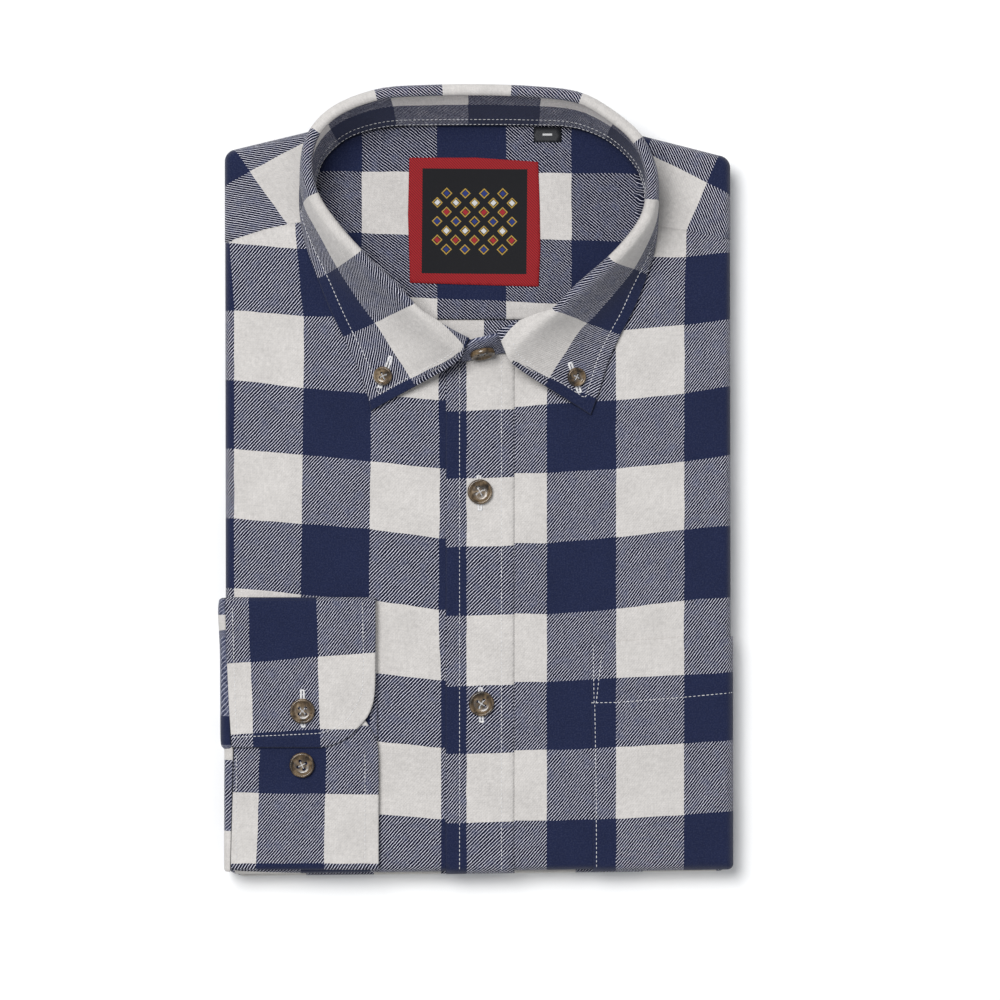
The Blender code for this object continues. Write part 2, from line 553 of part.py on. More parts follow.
def leaf_grids():
    """Outer and inner face of the collar leaf."""
    radius = COLLAR_CLOTH / 2 + GAP + COLLAR_CLOTH
    fall_angle = RIDGE - 1.9 / radius
    table = np.array([row[1:] for row in LEAF])
    for row in table:
        if row[6] == 0.0:
            row[6] = body_top(row[4], row[5]) + GAP + COLLAR_CLOTH + 0.2
    rows = 2 * len(LEAF) - 1
    sections = []
    up = np.array((0.0, 0.0, 1.0))
    for i in range(rows):
        at, off, rise, lip, ex, ey, ez, bow, flare = smooth_path(table, i / 2)
        top = smooth_path(STAND_TOP, at)
        x, y, above = smooth_path(SEAM, at)
        foot = np.array((x, y, body_top(x, y) + above))
        edge = np.array((ex, ey, ez))
        along = smooth_path(STAND_TOP, min(at + 0.2, len(STAND) - 1.0)) - smooth_path(STAND_TOP, max(at - 0.2, 0.0))
        along[2] = 0.0
        along /= np.linalg.norm(along)
        out = np.array((-along[1], along[0], 0.0))
        down = (foot - top) / np.linalg.norm(foot - top)
        side = np.cross(along, down)
        side *= np.sign(side @ out) / np.linalg.norm(side)
        centre = top + out * off + up * rise

        def over_roll(distance):
            """Point of the leaf's face this far back over the roll from its ridge."""
            angle = RIDGE + distance / radius
            beyond = max(0.0, angle - math.pi) * radius
            angle = min(angle, math.pi)
            return centre + radius * (math.cos(angle) * side - math.sin(angle) * down) + down * beyond

        # At the points the leaf lies open from the stand's edge; further back it rolls over it.
        reach = 0.7 + 1.75 * max(0.0, lip)
        rolled = [over_roll(reach * (1 - k / 5)) for k in range(5)]
        first = top - down * (COLLAR_CLOTH + GAP)
        ridge = over_roll(0.0)
        opens = min(1.0, max(0.0, off / 2.0))
        over = [(first + (ridge - first) * k / 5) * opens + rolled[k] * (1 - opens) for k in range(5)]
        over.append(over_roll(-0.6))
        start = over_roll(-1.9)
        plan = (start - edge) * np.array((1.0, 1.0, 0.0))
        drop = start[2] - edge[2]
        first_pull = start + (math.sin(fall_angle) * side + math.cos(fall_angle) * down) * bow
        last_pull = edge + plan * 0.45 * flare + up * drop * (0.5 * (1 - flare) + 0.06)
        fall = []
        for k in range(9):
            t = k / 8
            pulls = 3 * first_pull * t * (1 - t) ** 2 + 3 * last_pull * t * t * (1 - t)
            fall.append(start * (1 - t) ** 3 + pulls + edge * t ** 3)
        sections.append(over + fall)
    outer = np.array(sections)
    normal = -grid_normals(outer)
    return outer, outer - normal * COLLAR_CLOTH * np.sign(normal[len(normal) // 2, 8, 1])


def main():
    for old in list(bpy.data.objects):
        bpy.data.objects.remove(old, do_unlink=True)
    build_core()
    build_body()
    build_neck()
    build_sleeve_and_cuff()


def build_core():
    """The hidden layers: back, left sleeve, side flaps and tail, pressed into one rounded body."""
    end = BODY.length(NECK_RIGHT) / 2
    stations = BODY.stations(NECK_RIGHT, end, NECK_RIGHT, end)[:-1]
    ring = [BODY.point(s, FOLD_RADIUS) for s in stations]
    shallow = neck_loop(6.6, 0.5)
    deep = neck_loop(5.8, 1.0)
    flat, faces = filled(ring, GRID * 1.5, (shallow, deep))
    count = len(ring)
    below = CLOTH + GAP
    points = []
    for i, (x, y) in enumerate(flat):
        hit, nearest = inside(np.array((x, y)), deep)
        sunk = hit or nearest < 0.05
        if sunk:
            room = GAP if nearest < 0.05 else GAP + 0.6
            points.append((x, y, neck_top(x, y) - CLOTH - room))
        else:
            points.append((x, y, body_top(x, y) - below))
    roll = FOLD_RADIUS - below
    half = FOLD_RADIUS
    rings = []
    for k in range(1, 6):
        angle = math.pi * k / 5
        rings.append((BODY, FOLD_RADIUS - roll * math.sin(angle), -half + roll * math.cos(angle), True))
    rings.append((BODY, FOLD_RADIUS + FOLD_RETURN + 0.8, -half - roll, True))
    layer_tops = (9.6, 4.8)
    rings.append((BODY, FOLD_RADIUS + FOLD_RETURN + 0.8, layer_tops[0], False))
    for top in layer_tops:
        bulge = top / 2 if top == layer_tops[-1] else (layer_tops[0] - layer_tops[1]) / 2
        for inset, share in ((5.0, 0.0), (1.4, 0.25), (0.3, 0.8), (0.3, 1.2), (1.4, 1.75), (5.0, 2.0)):
            if top == layer_tops[-1] and share == 0.0:
                continue
            rings.append((UNDER, inset, top - bulge * share, False))
    previous = list(range(count))
    for outline, inset, height, hangs in rings:
        row = []
        for s, (x0, y0) in zip(stations, ring):
            if outline is UNDER and s[0] == "side":
                s = (s[0], s[1], s[2] * UNDER.length(s[1]) / BODY.length(s[1]))
            x, y = outline.point(s, inset)
            z = body_top(x0, y0) + height if hangs else height
            row.append(len(points))
            points.append((x, y, z))
        for i in range(count):
            j = (i + 1) % count
            faces.append((previous[i], row[i], row[j], previous[j]))
        previous = row
    faces.append(tuple(reversed(previous)))
    place("folded_core", points, faces, "check")


def neck_loop(outward, inside_roll):
    """A closed line round the neck opening, anticlockwise seen from above.

    It keeps at least inside_roll away from where the body's edge starts to roll."""
    found = []
    for point in seam_shifted(1, 28, outward):
        for corner, inward in zip(BODY.corner, BODY.inward):
            short = FOLD_RADIUS + inside_roll - (point - corner) @ inward
            point = point + inward * max(0.0, short)
        found.append(point)
    return list(reversed(found))


def build_body():
    left_seam_at = BODY.side_at(RIGHT_SHOULDER, 1, YOKE_SEAM_RIGHT[0][1] - GAP / 2)
    bottom_at = BODY.side_at(RIGHT_HEM, 0, FRONT_EDGES_MEET - GAP)
    stations = BODY.stations(RIGHT_SHOULDER, left_seam_at, RIGHT_HEM, bottom_at)
    neck = list(reversed(seam_shifted(1, 7, -1.0)))
    start = BODY.point(stations[-1], FOLD_RADIUS + 8.0)
    edge = [start, (FRONT_EDGES_MEET - GAP, 62.0)]
    across = [(x, y - GAP / 2) for x, y in reversed(YOKE_SEAM_RIGHT[1:])]
    line = edge + list(reversed(neck))[1:] + across
    folded_panel("right_front", stations, line, 0.0, CLOTH)

    start_at = BODY.side_at(RIGHT_HEM, 0, FRONT_EDGES_MEET + GAP)
    end_at = BODY.side_at(LEFT_HEM, 1, YOKE_SEAM_LEFT[0][1] - GAP / 2)
    stations = BODY.stations(RIGHT_HEM, start_at, LEFT_HEM, end_at)
    across = [(x, y - GAP / 2) for x, y in YOKE_SEAM_LEFT[1:]]
    neck = seam_shifted(21, 27, -1.0)
    line = across + neck + [(FRONT_EDGES_MEET + GAP, 58.0), BODY.point(stations[0], FOLD_RADIUS + 8.0)]
    folded_panel("left_front", stations, line, 0.0, CLOTH)

    start_at = BODY.side_at(LEFT_HEM, 1, YOKE_SEAM_LEFT[0][1] + GAP / 2)
    end_at = BODY.side_at(RIGHT_SHOULDER, 1, YOKE_SEAM_RIGHT[0][1] + GAP / 2)
    stations = BODY.stations(LEFT_HEM, start_at, RIGHT_SHOULDER, end_at)
    left = [(x, y + GAP / 2) for x, y in YOKE_SEAM_RIGHT[1:]]
    right = [(x, y + GAP / 2) for x, y in reversed(YOKE_SEAM_LEFT[1:])]
    line = left + seam_shifted(8, 20, -1.0) + right
    folded_panel("yoke_outside", stations, line, 0.0, CLOTH, step=GRID)

    start_at = BODY.side_at(RIGHT_HEM, 0, PLACKET_LEFT)
    end_at = BODY.side_at(RIGHT_HEM, 0, PLACKET_RIGHT)
    stations = BODY.stations(RIGHT_HEM, start_at, RIGHT_HEM, end_at)
    ends = [BODY.point(s, FOLD_RADIUS + 8.0) for s in (stations[-1], stations[0])]
    line = [ends[0]] + list(PLACKET_NECK) + [ends[1]]
    folded_panel("placket", stations, line, GAP + CLOTH, CLOTH, step=16.0)

    start_at = BODY.side_at(RIGHT_HEM, 0, POCKET_SIDE[-1][0])
    end_at = BODY.side_at(LEFT_HEM, 1, POCKET_TOP[0][1])
    stations = BODY.stations(RIGHT_HEM, start_at, LEFT_HEM, end_at)
    line = list(POCKET_TOP[1:]) + list(POCKET_SIDE[1:])
    folded_panel("pocket", stations, line, GAP + POCKET_CLOTH, POCKET_CLOTH)

    on_placket = GAP + CLOTH
    for name, x, y in (("button_front_upper", 2.1, -2.4), ("button_front_lower", 2.8, -99.8)):
        button(name, "large", (x, y, body_top(x, y) + on_placket), (0.0, 0.0, 1.0))


def build_neck():
    loop = neck_loop(5.0, 1.6)
    seam = INNER_YOKE_SEAM_Y
    upper = clipped(loop, seam + GAP / 2, 1)
    lower = clipped(loop, seam - GAP / 2, -1)
    flat_panel("yoke_inside", upper, neck_top, CLOTH)
    flat_panel("back_inside", lower, neck_top, CLOTH)
    on_yoke = GAP + LABEL_CLOTH
    for name, corners, finish in (("label", LABEL, "label"), ("size_tab", SIZE_TAB, "tab")):
        flat_panel(name, [np.array(c) for c in corners], lambda x, y: neck_top(x, y) + on_yoke, LABEL_CLOTH,
                   finish, step=10.0)
    outer, inner = stand_grids()
    grid_wall("collar_stand", outer, inner)
    leaf_outer, leaf_inner = leaf_grids()
    grid_wall("collar_leaf", leaf_outer, leaf_inner)
    for name, x, y in (("button_collar_right", -42.2, 50.9), ("button_collar_left", 46.1, 50.4)):
        centre, normal = seat(leaf_outer, x, y, BUTTON_SIZES["small"][0] / 2)
        button(name, "small", centre, normal)
    centre, normal = seat(outer[-9:], 3.1, 61.4, BUTTON_SIZES["large"][0] / 2)
    button("button_neck", "large", centre, normal)


def clipped(loop, y, side):
    """The part of a closed loop above (side 1) or below (side -1) a line of constant y."""
    found = []
    for a, b in zip(loop, loop[1:] + loop[:1]):
        if (a[1] - y) * side >= 0:
            found.append(a)
        if (a[1] - y) * (b[1] - y) < 0:
            found.append(a + (b - a) * (y - a[1]) / (b[1] - a[1]))
    return found


def build_sleeve_and_cuff():
    columns = 12
    inner = np.zeros((len(SLEEVE_ROWS), columns, 3))
    walls = np.array([row[2] for row in SLEEVE_ROWS])
    for i, (_, y, _, top_x) in enumerate(SLEEVE_ROWS):
        path = [(x, z) for x, z in SLEEVE_PATH]
        path[0] = (top_x, SLEEVE_PATH[0][1])
        for j in range(columns):
            x, z = smooth_path(path, j * (len(path) - 1) / (columns - 1))
            inner[i, j] = (x, y, z)
    normal = grid_normals(inner)
    normal *= -np.sign(normal[0, columns // 2, 0])
    grid_wall("right_sleeve", inner + normal * walls[:, None, None], inner)

    columns = 7
    middle = np.zeros((len(CUFF), columns, 3))
    for i, (_, y, above, left, right) in enumerate(CUFF):
        for j in range(columns):
            x = left + (right - left) * j / (columns - 1)
            middle[i, j] = (x, y, body_top(x, y) + GAP + above)
    normal = grid_normals(middle)
    normal *= np.sign(normal[3, 3, 2])
    grid_wall("cuff", middle + normal * CUFF_CLOTH / 2, middle - normal * CUFF_CLOTH / 2)
    over, under = 4.7 + CUFF_CLOTH / 2, 2.75 + CUFF_CLOTH / 2
    for name, x, y, above in (
        ("button_cuff_over", -79.3, -103.0, over),
        ("button_cuff_under", -79.6, -127.9, under),
    ):
        button(name, "large", (x, y, body_top(x, y) + GAP + above), (0.0, 0.0, 1.0))


main()
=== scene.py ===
"""A man's button-down shirt in brushed check flannel, folded flat on a pale table.

Sizes are millimetres unless a name says otherwise, and MM turns them into metres.
"""

import math

import bpy
import numpy as np
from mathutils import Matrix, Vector
from mathutils.bvhtree import BVHTree
from mathutils.geometry import delaunay_2d_cdt


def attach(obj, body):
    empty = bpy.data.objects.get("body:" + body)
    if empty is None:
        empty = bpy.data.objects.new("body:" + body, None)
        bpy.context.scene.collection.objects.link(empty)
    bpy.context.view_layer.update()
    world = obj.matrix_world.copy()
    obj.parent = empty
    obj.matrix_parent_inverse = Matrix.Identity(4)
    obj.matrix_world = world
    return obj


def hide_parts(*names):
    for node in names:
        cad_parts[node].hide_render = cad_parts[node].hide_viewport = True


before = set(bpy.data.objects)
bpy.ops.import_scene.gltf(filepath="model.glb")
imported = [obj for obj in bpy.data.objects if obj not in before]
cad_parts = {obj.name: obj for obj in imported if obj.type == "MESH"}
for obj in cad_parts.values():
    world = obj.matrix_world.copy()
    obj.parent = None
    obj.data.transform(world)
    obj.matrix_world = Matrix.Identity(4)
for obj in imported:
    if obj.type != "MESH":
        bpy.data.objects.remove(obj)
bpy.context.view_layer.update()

# --- Table, daylight and camera ---
# The shirt lies on a plain white table, in soft light from a large window high on the upper left and a pale
# room all round. The camera hangs two metres straight above it.
MM = 0.001
VIEW_CENTRE = (11.3, -6.2, 24.0)
CAMERA_HEIGHT = 2000.0
VIEW_WIDTH = 460.0
SENSOR = 36.0
ROOM_LIGHT = 0.34
LIGHTS = (  # name, place and size in metres, watts
    ("window", (-1.15, 1.3, 4.2), 1.9, 189.0),
    ("fill", (1.3, -0.6, 3.4), 1.6, 10.0),
)


def finish_node(tree, kind, sockets=None, **settings):
    """One node of a finish, with its settings, and its sockets given a value or another node's output."""
    made = tree.nodes.new(kind)
    for name, value in settings.items():
        setattr(made, name, value)
    for name, value in (sockets or {}).items():
        if isinstance(value, bpy.types.NodeSocket):
            tree.links.new(value, made.inputs[name])
        else:
            made.inputs[name].default_value = value
    return made


def finish(name, **sockets):
    """A material with one Principled BSDF. Its constants go by socket name, with _ for a space."""
    made = bpy.data.materials.new(name)
    made.use_nodes = True
    shader = made.node_tree.nodes["Principled BSDF"]
    for socket, value in sockets.items():
        shader.inputs[socket.replace("_", " ")].default_value = value
    return made, made.node_tree, shader


table_top, _, _ = finish("white table", Base_Color=(0.95, 0.95, 0.95, 1), Roughness=0.8,
                         Specular_IOR_Level=0.1)
mesh = bpy.data.meshes.new("table")
mesh.from_pydata([(-4, -4, 0), (4, -4, 0), (4, 4, 0), (-4, 4, 0)], [], [(0, 1, 2, 3)])
table = bpy.data.objects.new("table", mesh)
table.data.materials.append(table_top)
bpy.context.scene.collection.objects.link(table)

room = bpy.data.worlds.new("pale room")
room.use_nodes = True
room.node_tree.nodes["Background"].inputs["Color"].default_value = (0.94, 0.97, 1.0, 1)
room.node_tree.nodes["Background"].inputs["Strength"].default_value = ROOM_LIGHT
bpy.context.scene.world = room

for name, place, size, power in LIGHTS:
    lamp = bpy.data.lights.new(name, "AREA")
    lamp.shape = "SQUARE"
    lamp.size = size
    lamp.energy = power
    light = bpy.data.objects.new(name, lamp)
    light.location = place
    light.rotation_euler = (-Vector(place)).to_track_quat("-Z", "Y").to_euler()
    bpy.context.scene.collection.objects.link(light)

camera = bpy.data.objects.new("camera", bpy.data.cameras.new("camera"))
camera.location = (VIEW_CENTRE[0] * MM, VIEW_CENTRE[1] * MM, (VIEW_CENTRE[2] + CAMERA_HEIGHT) * MM)
camera.data.sensor_width = SENSOR
camera.data.lens = SENSOR * CAMERA_HEIGHT / VIEW_WIDTH
bpy.context.scene.collection.objects.link(camera)
bpy.context.scene.camera = camera
bpy.context.scene.view_settings.view_transform = "Standard"

# --- Flannel ---
# Brushed cotton 2/2 twill of about 165 g/m2, woven in navy and cream bands 31.7 mm wide both ways. Where navy
# crosses cream the twill's diagonals show, and the raised nap blurs them in patches.
BAND = 31.7
NAVY = (0.0092, 0.0142, 0.0480, 1)
CREAM = (0.592, 0.566, 0.542, 1)
HEATHER = (0.135, 0.15, 0.235, 1)
HEATHER_DARK = (0.015, 0.021, 0.070, 1)
HEATHER_LIGHT = (0.185, 0.200, 0.285, 1)
# Painted highlight and shade in the twill's mixed cells: the raised cream floats are made brighter than the
# cream itself and the navy between them darker, both with a bluer tint of the yarn.
PAINTED_VALLEY_SHADE = (0.17, 0.19, 0.34, 1)
PAINTED_FLOAT_HIGHLIGHT = (1.64, 1.70, 1.98, 1)


def calc(tree, operation, *terms, clamp=False):
    """A Math node's output."""
    made = finish_node(tree, "ShaderNodeMath", operation=operation, use_clamp=clamp)
    for i, term in enumerate(terms):
        if isinstance(term, bpy.types.NodeSocket):
            tree.links.new(term, made.inputs[i])
        else:
            made.inputs[i].default_value = term
    return made.outputs[0]


def vector_calc(tree, operation, vector, other):
    """A Vector Math node's output. SCALE takes a number as its other term."""
    socket = "Scale" if operation == "SCALE" else 1
    made = finish_node(tree, "ShaderNodeVectorMath", {0: vector, socket: other}, operation=operation)
    return made.outputs[0]


def ramp(tree, value, low, high, to_low=0.0, to_high=1.0, smooth=False):
    """The value moved from one range to another, and held there."""
    made = finish_node(tree, "ShaderNodeMapRange", {"Value": value, "From Min": low, "From Max": high,
                                                    "To Min": to_low, "To Max": to_high})
    made.interpolation_type = "SMOOTHSTEP" if smooth else "LINEAR"
    return made.outputs["Result"]


def speckle(tree, place, scale, detail=2.0, roughness=0.5, output="Fac", distortion=0.0):
    """Noise at this many features to a unit of place."""
    made = finish_node(tree, "ShaderNodeTexNoise", {"Vector": place, "Scale": scale, "Detail": detail,
                                                    "Roughness": roughness, "Distortion": distortion})
    return made.outputs[output]


def blend(tree, factor, one, other):
    """A colour between two colours."""
    made = finish_node(tree, "ShaderNodeMix", data_type="RGBA")
    for index, value in ((0, factor), (6, one), (7, other)):
        if isinstance(value, bpy.types.NodeSocket):
            tree.links.new(value, made.inputs[index])
        else:
            made.inputs[index].default_value = value
    return made.outputs[2]


def group_of(name, inputs, outputs):
    """A shader node group with its named sockets, and the nodes at its two ends."""
    made = bpy.data.node_groups.new(name, "ShaderNodeTree")
    for socket, kind, value in inputs:
        put = made.interface.new_socket(socket, in_out="INPUT", socket_type=kind)
        if value is not None:
            put.default_value = value
    for socket, kind in outputs:
        made.interface.new_socket(socket, in_out="OUTPUT", socket_type=kind)
    return made, made.nodes.new("NodeGroupInput"), made.nodes.new("NodeGroupOutput")


check, given, out = group_of(
    "brushed twill check",
    [("Cloth", "NodeSocketVector", None), ("Navy", "NodeSocketColor", NAVY),
     ("Cream", "NodeSocketColor", CREAM), ("Diagonals in a band", "NodeSocketFloat", 22.0),
     ("Steepness", "NodeSocketFloat", 0.865), ("Nap", "NodeSocketFloat", 0.0),
     ("Painted shade share", "NodeSocketFloat", 0.0)],
    [("Color", "NodeSocketColor"), ("Height", "NodeSocketFloat")],
)
cloth = given.outputs["Cloth"]
drift = vector_calc(check, "SUBTRACT", speckle(check, cloth, 2.3, 3.0, output="Color"), (0.5, 0.5, 0.5))
drift = vector_calc(check, "SCALE", drift, 0.035)
drifted = vector_calc(check, "ADD", cloth, drift)
axes = finish_node(check, "ShaderNodeSeparateXYZ", {0: drifted})
u, v = axes.outputs[0], axes.outputs[1]
warp_navy = calc(check, "GREATER_THAN", calc(check, "FRACT", calc(check, "MULTIPLY", u, 0.5)), 0.5)
weft_navy = calc(check, "LESS_THAN", calc(check, "FRACT", calc(check, "MULTIPLY", v, 0.5)), 0.5)
mixed = calc(check, "ABSOLUTE", calc(check, "SUBTRACT", warp_navy, weft_navy))
all_cream = calc(check, "SUBTRACT", 1.0, calc(check, "MAXIMUM", warp_navy, weft_navy))
run = calc(check, "ADD", u, calc(check, "MULTIPLY", v, given.outputs["Steepness"]))
run = calc(check, "MULTIPLY", run, given.outputs["Diagonals in a band"])
shiver = calc(check, "MULTIPLY", speckle(check, cloth, 24.0, 3.0, 0.6), 0.45)
diagonal = calc(check, "PINGPONG", calc(check, "ADD", run, shiver), 0.5)
diagonal = calc(check, "MULTIPLY", diagonal, 2.0)
# The share subtracted here narrows the cream floats, so the twill shows more navy where shade is painted.
floats = ramp(check, calc(check, "SUBTRACT", diagonal, given.outputs["Painted shade share"]), 0.73, 0.90, smooth=True)
cream_share = calc(check, "ADD", all_cream, calc(check, "MULTIPLY", mixed, floats))
woven = blend(check, cream_share, given.outputs["Navy"], given.outputs["Cream"])
# Painted highlight on the twill's raised floats and painted shade in its valleys.
painted_twill_light_and_shade = blend(check, floats, PAINTED_VALLEY_SHADE, PAINTED_FLOAT_HIGHLIGHT)
painted_twill_light_and_shade = blend(check, mixed, (1.0, 1.0, 1.0, 1), painted_twill_light_and_shade)
woven = vector_calc(check, "MULTIPLY", woven, painted_twill_light_and_shade)
brushed = calc(check, "ADD", speckle(check, cloth, 5.5, 5.0, 0.62), given.outputs["Nap"])
brushed = calc(check, "MULTIPLY", ramp(check, brushed, 0.49, 0.74, 0.0, 0.64), mixed)
tufts = ramp(check, speckle(check, cloth, 30.0, 3.0, 0.7), 0.40, 0.62)
heather = blend(check, tufts, HEATHER_DARK, HEATHER_LIGHT)
woven = blend(check, brushed, woven, heather)
fibre = speckle(check, cloth, 130.0, 3.0, 0.7)
slub = speckle(check, cloth, 16.0, 4.0, 0.65)
cloud = speckle(check, cloth, 1.6, 3.0, 0.6)
grain = 0.195
for stretch in ((85.0, 5.0, 0.0), (5.0, 85.0, 0.0)):
    thread = vector_calc(check, "MULTIPLY", cloth, stretch)
    grain = calc(check, "ADD", calc(check, "MULTIPLY", speckle(check, thread, 1.0, 1.0), 0.20), grain)
shade = calc(check, "ADD", calc(check, "MULTIPLY", fibre, 0.46), calc(check, "MULTIPLY", slub, 0.42))
shade = calc(check, "ADD", shade, calc(check, "MULTIPLY", cloud, 0.29))
shade = calc(check, "ADD", shade, grain)
hairs = ramp(check, speckle(check, cloth, 46.0, 4.0, 0.7), 0.45, 0.80, 0.0, 0.19)
woven = blend(check, hairs, woven, HEATHER)
woven = vector_calc(check, "SCALE", woven, shade)
check.links.new(woven, out.inputs["Color"])
height = calc(check, "ADD", calc(check, "MULTIPLY", diagonal, 0.55), calc(check, "MULTIPLY", fibre, 0.9))
check.links.new(height, out.inputs["Height"])


def flannel_finish(name, **painted_light_and_shade):
    """Check flannel, with some of the weave's inputs changed where light or shade is painted into it."""
    made, tree, shader = finish(name, Roughness=0.95, Specular_IOR_Level=0.12, Sheen_Weight=0.12,
                                Sheen_Roughness=0.55)
    nap = finish_node(tree, "ShaderNodeAttribute", attribute_name="nap").outputs["Fac"]
    place = finish_node(tree, "ShaderNodeUVMap", uv_map="cloth").outputs[0]
    woven = finish_node(tree, "ShaderNodeGroup", {"Cloth": place, "Nap": nap, **painted_light_and_shade}, node_tree=check)
    tree.links.new(woven.outputs["Color"], shader.inputs["Base Color"])
    relief = finish_node(tree, "ShaderNodeBump", {"Height": woven.outputs["Height"], "Strength": 0.55,
                                                  "Distance": 0.00022})
    tree.links.new(relief.outputs[0], shader.inputs["Normal"])
    return made


flannel = flannel_finish("check flannel")


def among(lines, along, across):
    """Where places lie among numbered lines of the check: 2.5 is halfway from line 2 to line 3.

    Each line is its number and points (along, across) in rising order of along. Past the last line the bands
    go on at their woven width."""
    numbers = [float(number) for number, _ in lines]
    at = np.array([np.interp(along, *np.array(points, float).T) for _, points in lines])
    way = -1.0 if at[-1].mean() < at[0].mean() else 1.0
    at, across = at * way, across * way
    found = numbers[0] + (across - at[0]) / BAND
    for i in range(len(lines) - 1):
        share = (across - at[i]) / (at[i + 1] - at[i]) * (numbers[i + 1] - numbers[i])
        found = np.where(across >= at[i], numbers[i] + share, found)
    return np.where(across >= at[-1], numbers[-1] + (across - at[-1]) / BAND, found)


def cloth_piece(name, points, faces, bands, material, nap=0.0):
    """A piece in metres from points in millimetres, with each point's place in the check as its UV map.

    nap is how far the raised nap hides the twill at each point."""
    mesh = bpy.data.meshes.new(name)
    mesh.from_pydata((np.asarray(points, float) * MM).tolist(), [], faces)
    corner = np.zeros(len(mesh.loops), int)
    mesh.loops.foreach_get("vertex_index", corner)
    layer = mesh.uv_layers.new(name="cloth")
    layer.data.foreach_set("uv", np.asarray(bands, float)[corner].ravel())
    raised = np.broadcast_to(np.asarray(nap, float), len(points)).copy()
    mesh.attributes.new("nap", "FLOAT", "POINT").data.foreach_set("value", raised)
    mesh.shade_smooth()
    made = bpy.data.objects.new(name, mesh)
    mesh.materials.append(material)
    bpy.context.scene.collection.objects.link(made)
    return made


def lay(piece, node, area=None):
    """Puts a cloth piece in its node's place on the shirt. Its area, the size it was cut to, is not used."""
    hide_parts(node)
    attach(piece, "root")
    area = area and area * MM * MM


def wall_faces(count, faces):
    """Faces of a closed wall between two matching sheets of count points each."""
    used = {(a, b) for face in faces for a, b in zip(face, face[1:] + face[:1])}
    rim = [(a, b) for a, b in used if (b, a) not in used]
    under = [tuple(count + i for i in reversed(face)) for face in faces]
    return list(faces) + under + [(b, a, count + a, count + b) for a, b in rim]


# --- Fronts, yoke, placket and pocket ---
# Flannel pieces 0.9 mm thick, sewn together and pressed over the fold. They lie almost flat on top and
# roll under at the sides, shoulders and hem. Placket and pocket lie on the fronts, their edges turned and
# stitched.
FLANNEL = 0.9
FOLD_RADIUS = 5.5
FOLD_REACH = 3.2
FOLD_RETURN = 4.0
TIGHTEST_CORNER = 0.9
EDGE_TOP, CROWN = 22.3, 1.7  # height at the sides, and how much higher the middle is
HALF_WIDTH, HALF_LENGTH = 118.0, 180.0
WAVE, SMALL_WAVE = 0.22, 0.05
STITCH_DEPTH, STITCH_REACH = 0.20, 0.8
PRESSED_DEPTH, PRESSED_REACH = 0.48, 3.0
NET_STEP = 4.5
BODY_CORNERS = (  # x, y, corner radius
    (-43.0, 171.6, 9.0), (-115.6, 154.3, 5.5), (-115.1, -178.9, 6.0),
    (117.9, -175.6, 1.7), (117.4, 151.4, 5.5), (38.0, 171.4, 9.0),
)
LOWER_CORNERS = (
    (-42.0, 169.8, 9.0), (-113.4, 152.4, 6.0), (-113.4, -181.0, 6.0),
    (116.6, -178.6, 4.0), (115.4, 149.6, 6.0), (37.0, 169.6, 9.0),
)
RIGHT_SIDE, HEM, LEFT_SIDE = 1, 2, 3


def body_top(x, y):
    """Height of the fronts."""
    return EDGE_TOP + CROWN * (1.0 - (x / HALF_WIDTH) ** 2) * (1.0 - 0.25 * (y / HALF_LENGTH) ** 2)


def rumple(x, y):
    """Soft unevenness of the pressed layers."""
    wave = np.sin(x / 21.0 + 1.3 * np.sin(y / 47.0)) * np.sin(y / 33.0 + 0.8 * np.sin(x / 39.0 + 1.0))
    small = np.sin(x / 7.3 + y / 17.0) * np.sin(y / 9.7 - x / 23.0)
    return WAVE * wave + SMALL_WAVE * small


class FoldOutline:
    """A rounded outline whose corners stay round at every inset. Corners run anticlockwise."""

    def __init__(self, corners):
        self.corner = [np.array(row[:2]) for row in corners]
        self.radius = [row[2] for row in corners]
        self.along = [b - a for a, b in zip(self.corner, self.corner[1:] + self.corner[:1])]
        self.length = [float(np.linalg.norm(side)) for side in self.along]
        self.along = [side / length for side, length in zip(self.along, self.length)]
        self.inward = [np.array((-side[1], side[0])) for side in self.along]

    def point(self, station, inset):
        kind, i, where = station
        if kind == "side":
            return self.corner[i] + self.along[i] * where + self.inward[i] * inset
        before, after = self.inward[i - 1], self.inward[i]
        radius = max(self.radius[i] - inset, TIGHTEST_CORNER)
        centre = self.corner[i] + (before + after) / (1.0 + before @ after) * (inset + radius)
        turn = math.atan2(before[0] * after[1] - before[1] * after[0], before @ after) * where
        c, s = math.cos(turn), math.sin(turn)
        return centre - np.array((c * before[0] - s * before[1], s * before[0] + c * before[1])) * radius

    def side_at(self, side, axis, value):
        return (value - self.corner[side][axis]) / self.along[side][axis]

    def stations(self, side, where, last_side, end, step=6.0):
        """Stations from a place on one side, round the corners, to a place on another."""
        found = []
        while True:
            last = side == last_side and end > where
            stop = end if last else self.length[side] - 14.0
            steps = max(1, round((stop - where) / step))
            found += [("side", side, where + (stop - where) * k / steps) for k in range(steps + 1)]
            if last:
                return found
            side = (side + 1) % len(self.corner)
            found += [("corner", side, k / 8) for k in range(9)]
            where = 14.0


FOLD = FoldOutline(BODY_CORNERS)


def line_points(line, step):
    """Points along a line of straight runs, no further apart than about step."""
    found = [np.array(line[0], float)]
    for a, b in zip(line, line[1:]):
        a, b = np.array(a, float), np.array(b, float)
        pieces = max(1, round(np.linalg.norm(b - a) / step))
        found += [a + (b - a) * k / pieces for k in range(1, pieces + 1)]
    return found


